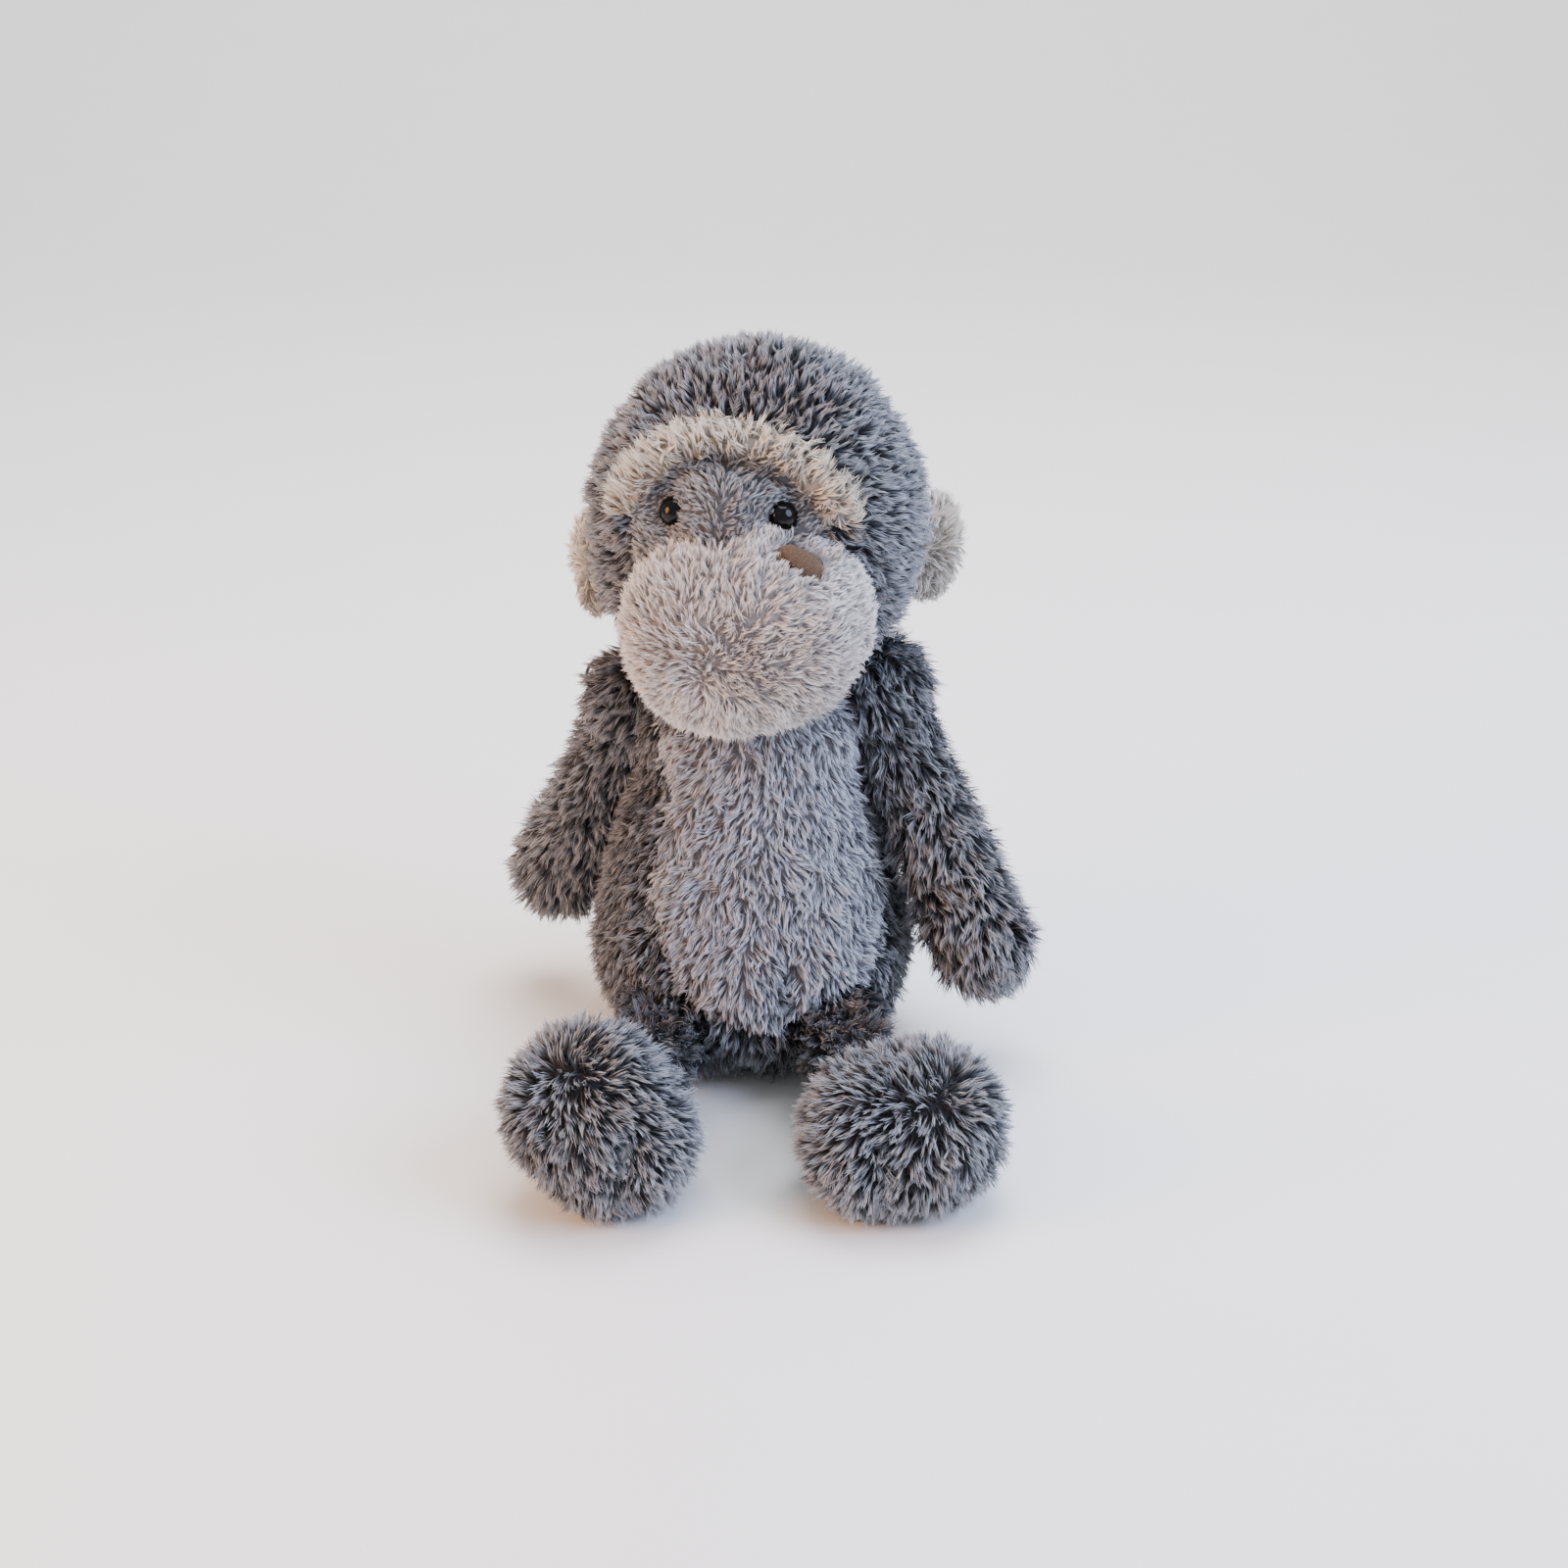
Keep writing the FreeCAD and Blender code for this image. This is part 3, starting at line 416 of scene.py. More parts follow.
def skin(name, nodes, voxel=None, rounds=6):
    """One smooth closed skin round copies of some nodes, with its largest shell kept."""
    bm = bmesh.new()
    for node in nodes:
        bm.from_mesh(frame["nodes"][node].data)
    bmesh.ops.remove_doubles(bm, verts=bm.verts, dist=0.001 * MM)
    mesh = bpy.data.meshes.new(name)
    bm.to_mesh(mesh)
    bm.free()
    thing = link(name, mesh)
    remesh = thing.modifiers.new("even", "REMESH")
    remesh.mode, remesh.voxel_size = "VOXEL", voxel or sizes().voxel
    remesh.use_smooth_shade = True
    ease = thing.modifiers.new("ease", "SMOOTH")
    ease.factor, ease.iterations = 0.5, rounds
    made = plain(thing)
    bpy.data.objects.remove(thing)
    bm = bmesh.new()
    bm.from_mesh(made)
    outer = set(max(shells_of(bm), key=lambda shell: max(v.co.z for v in shell) - min(v.co.z for v in shell)))
    bmesh.ops.delete(bm, geom=[vert for vert in bm.verts if vert not in outer], context="VERTS")
    bmesh.ops.recalc_face_normals(bm, faces=bm.faces)
    bm.to_mesh(made)
    bm.free()
    return made


def shaped(mesh, sink, sculpt=None):
    """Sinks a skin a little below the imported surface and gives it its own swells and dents."""
    points = points_of(mesh) - normals_of(mesh) * sink / MM
    if sculpt:
        points = sculpt(points, normals_of(mesh))
    set_points(mesh, points)
    return mesh


def bell(points, middle, radius):
    """1 at the middle, falling away smoothly over the radius."""
    gap = (points - np.array(middle)) / np.array(radius)
    return np.exp(-(gap ** 2).sum(1))


def ridge(value, middle, width):
    """1 where value is at the middle, falling away smoothly over the width."""
    return np.exp(-((value - middle) / width) ** 2)


def waves(points, grain, seed):
    """Smooth noise from -1 to 1 on points, with lumps of this size in millimetres."""
    shift = Vector((seed * 17.3, seed * 7.1, seed * 3.7))
    return np.array([noise.noise(Vector(p) / grain + shift) for p in points])


def whorl(points, middle, radius):
    """0 at the middle of a whorl, where locks stand up, rising to 1 at the radius."""
    return np.clip(np.linalg.norm(points - np.array(middle), axis=1) / radius, 0, 1)


def unit(vectors):
    return vectors / np.maximum(np.linalg.norm(vectors, axis=-1, keepdims=True), 1e-9)


def panels(mesh, nodes, eased=None):
    """Draws a skin in along its seams, and splits its faces among some nodes: {node: patch mesh}.

    Where eased is given, it says how far each point is moved, in millimetres, before its panel is
    looked for, which moves the seams the other way.
    """
    trees = []
    for node in nodes:
        source = frame["nodes"][node].data
        trees.append(BVHTree.FromPolygons(
            [v.co for v in source.vertices], [p.vertices[:] for p in source.polygons]))
    places = points_of(mesh)
    if eased:
        places = places + eased(places)
    gaps = np.array([[tree.find_nearest(Vector(p * MM))[3] for tree in trees] for p in places]) / MM
    gaps.sort(axis=1)
    drawn = SEAM_DEPTH * np.exp(-((gaps[:, 1] - gaps[:, 0]) / SEAM_WIDTH) ** 2)
    set_points(mesh, points_of(mesh) - normals_of(mesh) * drawn[:, None])
    nearest = []
    for face in mesh.polygons:
        middle = Vector(places[list(face.vertices)].mean(axis=0) * MM)
        gaps = [tree.find_nearest(middle)[3] for tree in trees]
        nearest.append(gaps.index(min(gaps)))
    patches = {}
    for index, node in enumerate(nodes):
        bm = bmesh.new()
        bm.from_mesh(mesh)
        bm.faces.ensure_lookup_table()
        away = [bm.faces[i] for i, n in enumerate(nearest) if n != index]
        bmesh.ops.delete(bm, geom=away, context="FACES")
        patch = bpy.data.meshes.new(node + "_patch")
        bm.to_mesh(patch)
        bm.free()
        patches[node] = patch
    return patches


# ---------------------------------------------------------------- pile


PILE_MAP = "OFBake"                   # the map of the pile's colours: tone across, root to tip upwards
MAP_START = 0.015                    # where the darkest tone lies on it
MAP_WIDTH = 0.97                     # and how far off the palest one is
TONE_HALF = 0.004                    # half a blade's width on it
CLOTH_ROWS = (0.002, 0.03)           # the rows that the backing takes, at the roots' end
LOCK_KINDS = 6
LOCK_SPREAD = 0.16                   # how far a blade's root is from its lock's middle, at most
BLADES = 6                           # in a lock
BLADE_STEPS = 3
CROWDING = 1.6                       # how many roots are tried for, over what the spacing can hold
REACH_SPREAD = (0.78, 1.12)          # the shortest and longest lock, as a share of the pile's length
TONE_SPREAD = 0.16                   # how much one lock's tone differs from the next
TUFT_LEAN = 2.0                      # how strongly a tuft leans its own way
STRAY = 0.2                          # and a lock on its own
SWIRL, SWIRL_SIZE = 0.9, 9           # how far the combing wanders, and over how many millimetres
MOTTLE, MOTTLE_SIZE = 0.16, 6        # how much the tone wanders, and over how many millimetres
FLOOR_GAP = 0.25                     # pile is pressed flat this far above the floor, in millimetres
NO_LENGTH = 1e-3                     # keeps a direction from having no length at a whorl's heart


def lock_shapes():
    """A few locks of tapering blades that lean together, one unit long, in their own collection."""
    shapes = bpy.data.collections.get("pile_locks")
    if shapes:
        return shapes
    shapes = bpy.data.collections.new("pile_locks")
    rng = np.random.default_rng(5)
    width = sizes().blade / sizes().dark_length
    for kind in range(LOCK_KINDS):
        verts, faces, blade_tone, along, side = [], [], [], [], []
        gather = rng.uniform(0.6, 0.95)
        for _ in range(BLADES):
            angle, out = rng.uniform(0, 2 * math.pi), math.sqrt(rng.uniform(0, 1)) * LOCK_SPREAD
            root = np.array([math.cos(angle), math.sin(angle), 0]) * out
            reach, bend = rng.uniform(0.75, 1.0), rng.uniform(0.1, 0.4)
            turn = rng.normal(0, 0.55)
            across = np.array([math.sin(turn), math.cos(turn), 0])
            tip_shift = np.array([rng.normal(0, 0.05), rng.normal(0, 0.05), 0])
            tone = rng.uniform(-0.12, 0.12)
            first = len(verts)
            for step in range(BLADE_STEPS + 1):
                t = step / BLADE_STEPS
                spine = root * (1 - gather * t) + tip_shift * t
                spine = spine + np.array([bend * t ** 2, 0, t - 0.12 * bend * t ** 2]) * reach
                half = width * 0.5 * (1 - 0.55 * t)
                for way in (-1, 1) if step < BLADE_STEPS else (0,):
                    verts.append(tuple(spine + across * half * way))
                    blade_tone.append(tone)
                    along.append(t)
                    side.append(way)
            for a in range(first, first + 2 * BLADE_STEPS - 2, 2):
                faces.append((a, a + 1, a + 3, a + 2))
            tip = first + 2 * BLADE_STEPS
            faces.append((tip - 2, tip - 1, tip))
        mesh = bpy.data.meshes.new(f"lock_{kind}")
        mesh.from_pydata(verts, [], faces)
        for name, values in (("blade_tone", blade_tone), ("along", along), ("side", side)):
            mesh.attributes.new(name, "FLOAT", "POINT").data.foreach_set("value", values)
        shapes.objects.link(bpy.data.objects.new(f"lock_{kind}", mesh))
    return shapes


def pile_tree():
    """Geometry nodes that plant locks over a patch along its flow."""
    tree = bpy.data.node_groups.get("Plant pile")
    if tree:
        return tree
    tree = bpy.data.node_groups.new("Plant pile", "GeometryNodeTree")
    face = tree.interface
    face.new_socket("Geometry", in_out="OUTPUT", socket_type="NodeSocketGeometry")
    for name, kind in (
            ("Geometry", "Geometry"), ("Spacing", "Float"), ("Seed", "Int"), ("Locks", "Collection"),
            ("Stray", "Float"), ("Tuft", "Float"), ("Tuft tone", "Float"), ("Usual length", "Float"),
            ("Pile", "Material")):
        face.new_socket(name, in_out="INPUT", socket_type="NodeSocket" + kind)
    given = add(tree, "NodeGroupInput").outputs
    sums, vectors = "ShaderNodeMath", "ShaderNodeVectorMath"
    fields = {
        name: add(tree, "GeometryNodeInputNamedAttribute", {
            "data_type": "FLOAT_VECTOR" if name == "flow" else "FLOAT", "Name": name}).outputs["Attribute"]
        for name in ("flow", "lean", "pile", "tone", "lock_tone", "blade_tone", "along", "side")}
    chances = {}
    for name, kind, first, output, low, high, shift in (
            ("stray", "FLOAT_VECTOR", 0, 0, (-1, -1, -1), (1, 1, 1), 11),
            ("reach", "FLOAT", 2, 1, *REACH_SPREAD, 23),
            ("lock", "INT", 4, 2, 0, LOCK_KINDS - 1, 31),
            ("tone", "FLOAT", 2, 1, -TONE_SPREAD, TONE_SPREAD, 41)):
        seed = add(tree, sums, {"operation": "ADD", 1: shift}, {0: given["Seed"]})
        chances[name] = add(tree, "FunctionNodeRandomValue", {
            "data_type": kind, first: low, first + 1: high}, {"Seed": seed}).outputs[output]

    squared = add(tree, sums, {"operation": "MULTIPLY"}, {0: given["Spacing"], 1: given["Spacing"]})
    density = add(tree, sums, {"operation": "DIVIDE", 0: CROWDING}, {1: squared})
    roots = add(tree, "GeometryNodeDistributePointsOnFaces", {"distribute_method": "POISSON"}, {
        "Mesh": given["Geometry"], "Distance Min": given["Spacing"], "Density Max": density,
        "Seed": given["Seed"]})

    # A lock leans along its flow, then strays a little on its own and more with its tuft.
    grain = add(tree, sums, {"operation": "DIVIDE", 0: 1.0}, {1: given["Tuft"]})
    lumps = add(tree, "ShaderNodeTexNoise", {"Detail": 1.0}, {"Scale": grain})
    tuft = add(tree, vectors, {
        "operation": "MULTIPLY_ADD", 1: (TUFT_LEAN,) * 3, 2: (-TUFT_LEAN / 2,) * 3},
        {0: lumps.outputs["Color"]})
    own = add(tree, vectors, {"operation": "SCALE"}, {0: chances["stray"], "Scale": given["Stray"]})
    stray = add(tree, vectors, {"operation": "ADD"}, {0: own, 1: tuft})
    laid = add(tree, vectors, {"operation": "SCALE"}, {0: fields["flow"], "Scale": fields["lean"]})
    upward = add(tree, sums, {"operation": "SUBTRACT", 0: 1.0}, {1: fields["lean"]})
    up = add(tree, vectors, {"operation": "SCALE"}, {0: roots.outputs["Normal"], "Scale": upward})
    leaning = add(tree, vectors, {"operation": "ADD"}, {0: laid, 1: up})
    strayed = add(tree, vectors, {"operation": "ADD"}, {0: leaning, 1: stray})
    aim = add(tree, vectors, {"operation": "NORMALIZE"}, {0: strayed})
    upright = add(tree, "FunctionNodeAlignRotationToVector", {"axis": "Z"}, {"Vector": aim})
    bending = add(tree, vectors, {"operation": "ADD"}, {0: fields["flow"], 1: stray})
    turned = add(tree, "FunctionNodeAlignRotationToVector", {"axis": "X", "pivot_axis": "Z"}, {
        "Rotation": upright, "Vector": bending})

    # A short lock keeps most of its breadth, so that short pile still covers the cloth.
    reach = add(tree, sums, {"operation": "MULTIPLY"}, {0: fields["pile"], 1: chances["reach"]})
    area = add(tree, sums, {"operation": "MULTIPLY"}, {0: reach, 1: given["Usual length"]})
    breadth = add(tree, sums, {"operation": "POWER", 1: 0.5}, {0: area})
    scale = add(tree, "ShaderNodeCombineXYZ", None, {"X": breadth, "Y": breadth, "Z": reach})
    shapes = add(tree, "GeometryNodeCollectionInfo", {"Separate Children": True, "Reset Children": True},
                 {"Collection": given["Locks"]})
    planted = add(tree, "GeometryNodeInstanceOnPoints", {"Pick Instance": True}, {
        "Points": roots.outputs["Points"], "Instance": shapes, "Instance Index": chances["lock"],
        "Rotation": turned, "Scale": scale})

    # The map runs from the darkest lock to the palest across, and from root to tip upwards.
    lumpy = add(tree, sums, {"operation": "SUBTRACT", 1: 0.5}, {0: lumps.outputs["Fac"]})
    patchy = add(tree, sums, {"operation": "MULTIPLY"}, {0: lumpy, 1: given["Tuft tone"]})
    shaded = add(tree, sums, {"operation": "ADD"}, {0: fields["tone"], 1: patchy})
    tone = add(tree, sums, {"operation": "ADD"}, {0: shaded, 1: chances["tone"]})
    toned = add(tree, "GeometryNodeStoreNamedAttribute", {
        "data_type": "FLOAT", "domain": "INSTANCE", "Name": "lock_tone"},
        {"Geometry": planted, "Value": tone})
    real = add(tree, "GeometryNodeRealizeInstances", None, {"Geometry": toned})
    whole = add(tree, sums, {"operation": "ADD"}, {0: fields["lock_tone"], 1: fields["blade_tone"]})
    held = add(tree, "ShaderNodeClamp", {"Min": 0.0, "Max": 1.0}, {"Value": whole})
    wide = add(tree, sums, {"operation": "MULTIPLY", 1: MAP_WIDTH}, {0: held})
    edge = add(tree, sums, {"operation": "MULTIPLY", 1: TONE_HALF}, {0: fields["side"]})
    shifted = add(tree, sums, {"operation": "ADD", 1: MAP_START}, {0: edge})
    across = add(tree, sums, {"operation": "ADD"}, {0: wide, 1: shifted})
    tall = add(tree, sums, {"operation": "MULTIPLY", 1: 0.94}, {0: fields["along"]})
    upwards = add(tree, sums, {"operation": "ADD", 1: 0.04}, {0: tall})
    place = add(tree, "ShaderNodeCombineXYZ", None, {"X": across, "Y": upwards})
    mapped = add(tree, "GeometryNodeStoreNamedAttribute", {
        "data_type": "FLOAT2", "domain": "CORNER", "Name": PILE_MAP}, {"Geometry": real, "Value": place})
    finish = add(tree, "GeometryNodeSetMaterial", None, {"Geometry": mapped, "Material": given["Pile"]})
    add(tree, "NodeGroupOutput", None, {0: finish})
    return tree


def set_field(mesh, name, kind, values):
    """Stores a value for each point of a mesh."""
    data = mesh.attributes.new(name, kind, "POINT").data
    data.foreach_set("vector" if kind == "FLOAT_VECTOR" else "value", np.ravel(values))


def cloth_map(mesh, tone):
    """Gives each face of the backing its own small square at the roots' end of the map."""
    layer = mesh.uv_layers.new(name=PILE_MAP)
    counts, starts = np.empty(len(mesh.polygons), int), np.empty(len(mesh.polygons), int)
    mesh.polygons.foreach_get("loop_total", counts)
    mesh.polygons.foreach_get("loop_start", starts)
    corner = (np.arange(len(mesh.loops)) - np.repeat(starts, counts)) % 4
    vert = np.empty(len(mesh.loops), int)
    mesh.loops.foreach_get("vertex_index", vert)
    first = np.repeat(vert[starts], counts)
    uv = np.empty((len(mesh.loops), 2))
    uv[:, 0] = np.clip(tone[first], 0, 1) * MAP_WIDTH + MAP_START
    uv[:, 0] += np.array([-1, 1, 1, -1])[corner] * TONE_HALF
    uv[:, 1] = np.array(CLOTH_ROWS)[[0, 0, 1, 1]][corner]
    layer.data.foreach_set("uv", uv.ravel())


def plush(node, body, patch, style, seed, spacing=1.0, patchy=0.5):
    """One sewn panel: a closed knitted backing and the locks that stand on it.

    The style says, for each point, which way the pile is combed, how far it leans, how long it is
    and how pale. Patchy is how much the tufts differ in tone.
    """
    name = node + "_plush"
    points, normals = points_of(patch), normals_of(patch)
    flow, lean, pile, tone = style(points, normals)
    flow = unit(flow - normals * (flow * normals).sum(1, keepdims=True))
    swirl = np.stack([waves(points, SWIRL_SIZE, seed + axis) for axis in range(3)], 1)
    flow = unit(flow + SWIRL * (swirl - normals * (swirl * normals).sum(1, keepdims=True)))
    tone = np.broadcast_to(tone, len(points)) + MOTTLE * waves(points, MOTTLE_SIZE, seed + 5)
    set_field(patch, "flow", "FLOAT_VECTOR", flow)
    for field, values in (("lean", lean), ("pile", pile), ("tone", tone)):
        set_field(patch, field, "FLOAT", np.broadcast_to(values, len(points)))
    material = material_for(SLOT_OF[node])
    fur_object = link(name + "_pile", patch)
    planting = fur_object.modifiers.new("pile", "NODES")
    tree = pile_tree()
    planting.node_group = tree
    keys = {item.name: item.identifier for item in tree.interface.items_tree if item.in_out == "INPUT"}
    for key, value in (
            ("Spacing", sizes().spacing * spacing), ("Seed", seed), ("Locks", lock_shapes()),
            ("Stray", STRAY), ("Tuft", sizes().tuft), ("Tuft tone", patchy),
            ("Usual length", sizes().dark_length), ("Pile", material)):
        planting[keys[key]] = value
    fur = plain(fur_object)
    bpy.data.objects.remove(fur_object)

    backing = patch.copy()
    for field in ("flow", "lean", "pile"):
        backing.attributes.remove(backing.attributes[field])
    base = link(name + "_backing", backing)
    wall = base.modifiers.new("wall", "SOLIDIFY")
    wall.thickness, wall.offset = sizes().cloth, -1
    cloth = plain(base)
    bpy.data.objects.remove(base)
    carried = np.empty(len(cloth.vertices))
    cloth.attributes["tone"].data.foreach_get("value", carried)
    cloth_map(cloth, carried)

    bm = bmesh.new()
    bm.from_mesh(cloth)
    bm.from_mesh(fur)
    whole = bpy.data.meshes.new(name)
    bm.to_mesh(whole)
    bm.free()
    whole.materials.append(material)
    for field in ("tone", "lock_tone", "blade_tone", "along", "side", "flow", "lean", "pile"):
        if field in whole.attributes:
            whole.attributes.remove(whole.attributes[field])
    placed = points_of(whole)
    placed[:, 2] = np.maximum(placed[:, 2], FLOOR_GAP)
    set_points(whole, placed)
    whole.polygons.foreach_set("material_index", np.zeros(len(whole.polygons), int))
    whole.polygons.foreach_set("use_smooth", np.ones(len(whole.polygons), bool))
    piece = link(name, whole)
    settle(piece, body, SLOT_OF[node], node)


def settle(piece, body, slot, *nodes):
    """Says which body a piece rides on, by parenting it, and hides the nodes that it stands for. The slot is
    not used.
    """
    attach(piece, body)
    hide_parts(*nodes)


def filling(name, nodes, depth, body, slot, sculpt=None):
    """What fills a skin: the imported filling, eased, drawn in a little and shaped like its skin."""
    mesh = skin(name + "_form", nodes)
    points, normals = points_of(mesh), normals_of(mesh)
    moved_by = sculpt(points, normals) - points if sculpt else 0
    set_points(mesh, points + moved_by - normals * depth)
    mesh.materials.clear()
    mesh.materials.append(material_for(slot))
    piece = link(name, mesh)
    settle(piece, body, slot, *nodes)


# ---------------------------------------------------------------- places taken from the model


def centre(node):
    """The middle of a node's box, in millimetres."""
    low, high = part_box(node)
    return np.array((low + high) / 2) / MM


def head_frame():
    """The head's own axes: its middle, and the turn of its face, in millimetres."""
    nod = JOINTS["neck_nod"]
    turn = math.atan2(nod["axis"][1], nod["axis"][0])
    return np.array(nod["pos_m"]) / MM, turn


def to_head(points):
    middle, turn = head_frame()
    c, s = math.cos(turn), math.sin(turn)
    return (points - middle) @ np.array([[c, -s, 0], [s, c, 0], [0, 0, 1]])


def from_head(vectors):
    _, turn = head_frame()
    c, s = math.cos(turn), math.sin(turn)
    return vectors @ np.array([[c, s, 0], [-s, c, 0], [0, 0, 1]])


def pivot(joint):
    return np.array(JOINTS[joint]["pos_m"]) / MM


# ---------------------------------------------------------------- torso


BELLY_CLEFT = np.array([11.5, -50, 42])
WAIST_HEIGHT, SHOULDER_HEIGHT, BAND_HEIGHT = 98, 125, 14
SEAT_GAP = 0.3                       # the seat's cloth lies this far above the floor


def torso_shape(points, normals):
    """A nipped waist, shoulders that meet the arms, and a belly with a cleft between two lobes."""
    x, y, z = points.T
    front, aside = np.clip(-normals[:, 1], 0, 1), np.abs(normals[:, 0])
    out = unit(np.stack([x, y, 0 * x], 1))
    points = points - out * (2.4 * ridge(z, WAIST_HEIGHT, 14) * aside ** 2)[:, None]
    points = points + out * (5.5 * ridge(z, SHOULDER_HEIGHT, 13) * aside)[:, None]
    cleft = bell(points, BELLY_CLEFT, (3.2, 20, 10)) * front
    lobes = sum(bell(points, BELLY_CLEFT + (way * 15, 0, -6), (11, 20, 12)) for way in (-1, 1)) * front
    points = points + normals * (2.4 * lobes - 7.0 * cleft)[:, None]
    points = points + normals * (1.2 * waves(points, 24, 3))[:, None]
    points[:, 2] = np.maximum(points[:, 2], SEAT_GAP)
    return points


def narrowed(points):
    """Moves the belly's right seam in, most of all at the chest, and its left seam out."""
    x, z = points[:, 0], points[:, 2]
    right = np.clip(-x / 12, 0, 1) * (2 + 6 * np.clip((z - 50) / 50, 0, 1))
    left = np.clip(x / 12, 0, 1) * 6 * ridge(z, 58, 28)
    return np.stack([-right - left, 0 * x, 0 * x], 1)


def belly_style(points, normals):
    """Combed down and a little outwards, and dark down in the cleft, where the tone carries painted shade."""
    x = points[:, 0]
    down = np.stack([(x - 8) * 0.018, 0 * x, -np.ones(len(x))], 1)
    # The cleft lowers the tone: painted shade in the crease between the belly's lobes.
    cleft = bell(points, BELLY_CLEFT, (3.5, 20, 11))
    return down, 0.44, sizes().belly_length, 0.58 - 0.7 * cleft


def side_style(points, normals):
    """Combed down, with a longer band below the belly that is darker as painted shade under the belly."""
    x, y, z = points.T
    down = np.stack([x * 0.006, y * 0.004, -np.ones(len(x))], 1)
    # The band also lowers the tone: painted shade under the belly.
    band = ridge(z, BAND_HEIGHT, 12) * (y < 0)
    return down, 0.38 + 0.27 * band, sizes().dark_length * (0.95 + 0.25 * band), 0.29 - 0.1 * band


def seat_style(points, normals):
    """Pressed flat outwards by the toy's own weight."""
    out = np.stack([points[:, 0], points[:, 1], 0 * points[:, 0]], 1)
    return out + NO_LENGTH, 0.9, sizes().dark_length * 0.45, 0.25


def build_torso():
    shell = skin("torso_skin", [
        "seat_panel", "belly_panel", "torso_panel_left", "torso_panel_right", "torso_stuffing",
        "seat_pouch", "seat_pellets"])
    shaped(shell, sizes().sink, torso_shape)
    plan = {                         # its style, its seed, its lock spacing and its patchiness
        "belly_panel": (belly_style, 10, 1.0, 0.35),
        "torso_panel_left": (side_style, 20, 1.0, 0.8),
        "torso_panel_right": (side_style, 30, 1.0, 0.8),
        "seat_panel": (seat_style, 40, 2.2, 0.5),
    }
    for node, patch in panels(shell, list(plan), narrowed).items():
        plush(node, "torso", patch, *plan[node])
    filling("torso_filling", ["torso_stuffing"], 2.0, "torso", "polyester_fill", torso_shape)
    filling("seat_pouch_sewn", ["seat_pouch"], 1.6, "torso", "pouch_cloth", torso_shape)
    filling("seat_pellets_loose", ["seat_pellets"], 2.6, "torso", "pellets", torso_shape)


# ---------------------------------------------------------------- head


EYE_PLACE = (16.8, -45, 9.5)         # from the head's middle, along its own axes
ARCH_DROP = 4.5                      # the brow's arch is centred below the head's middle
ARCH_INNER = 31                      # and its inner edge has this radius


def arch(place):
    """How far a point is from the middle of the brow's arch, seen from the front."""
    return np.hypot(place[:, 0], place[:, 2] + ARCH_DROP)


def eyes(place, radius):
    """1 at each eye, falling away over the radius."""
    return sum(bell(place, (way * EYE_PLACE[0], *EYE_PLACE[1:]), radius) for way in (-1, 1))


def head_shape(points, normals):
    """Full cheeks, a heavy brow with a dip under it, eye sockets, and a bridge between the eyes."""
    place = to_head(points)
    _, y, z = place.T
    front = np.clip(-y / 25, 0, 1)
    out = arch(place)
    brow = ridge(out, ARCH_INNER + 4, 5) * np.clip((z + 2) / 10, 0, 1) * front
    under = ridge(out, ARCH_INNER - 4, 3) * np.clip((z - 8) / 8, 0, 1) * front
    face = np.clip((ARCH_INNER + 1 - out) / 6, 0, 1) * front
    socket = eyes(place, (7.5, 16, 8))
    bridge = bell(place, (0, -50, 6), (9.5, 20, 15))
    cheek = sum(bell(place, (way * 34, -8, -30), (14, 22, 14)) for way in (-1, 1))
    lift = 6.5 * cheek + 3.6 * brow - 3.0 * under + 2.0 * face - 2.4 * socket * front + 5.0 * bridge
    points = points + normals * lift[:, None]
    return points + normals * (1.0 * waves(points, 26, 9))[:, None]


def crown_style(points, normals):
    """Nearly upright on top, combed away from the brow, and combed down at the back."""
    place = to_head(points)
    x, y, z = place.T
    away = np.stack([x * 0.9, y + 62, z * 0.5 - 8], 1)
    back = np.stack([x * 0.2, y * 0 + 10, -18 + 0 * z], 1)
    share = np.clip((y + 10) / 40, 0, 1)[:, None]
    flow = unit(away) * (1 - share) + unit(back) * share
    # high raises the tone with height, paler on top and darker low down: painted light from above.
    low, high = np.clip(-z / 35, 0, 1), np.clip(z / 50, -1, 1)
    return from_head(flow), 0.16 + 0.25 * low, sizes().crown_length, 0.5 + 0.15 * high


def cheek_style(points, normals):
    """Combed outwards and back from the face."""
    sideways = np.sign(to_head(points)[:, 0])
    flow = np.stack([sideways, 0 * sideways + 0.6, 0 * sideways - 0.3], 1)
    return from_head(flow), 0.34, sizes().dark_length * 0.95, 0.46


def brow_style(points, normals):
    """Fluffed up and outwards, and shorter and darker along the arch's inner edge, where the darker tone is
    painted shade as the brow turns under.
    """
    place = to_head(points)
    x = place[:, 0]
    flow = np.stack([x / 34, 0 * x - 0.4, 0 * x + 0.8], 1)
    # inner lowers the tone at the arch's inner edge: painted shade where the brow turns down into the dip
    # under it.
    inner = np.clip((arch(place) - ARCH_INNER + 1) / 6, 0, 1)
    return from_head(flow), 0.24, sizes().brow_length * (0.6 + 0.4 * inner), 0.1 + 0.6 * inner


def face_style(points, normals):
    """Parted down the bridge, short round the eyes with painted shade in their sockets, and dark under the
    brow with a painted shadow.
    """
    place = to_head(points)
    x, _, z = place.T
    flow = np.stack([x / 12, 0 * x, 0 * x + 0.4], 1)
    # eye and gap lower the tone: painted shade in the eye sockets and a painted shadow in the dip under the
    # brow.
    eye = eyes(place, (7, 16, 7))
    gap = ridge(arch(place), ARCH_INNER - 2, 3) * np.clip((z - 6) / 8, 0, 1)
    sides = np.clip(np.abs(x) / 26, 0, 1)
    pile = sizes().face_length * (1 - 0.55 * np.clip(eye, 0, 1))
    return from_head(flow), 0.25, pile, 0.5 + 0.3 * sides - 0.5 * gap - 0.25 * eye


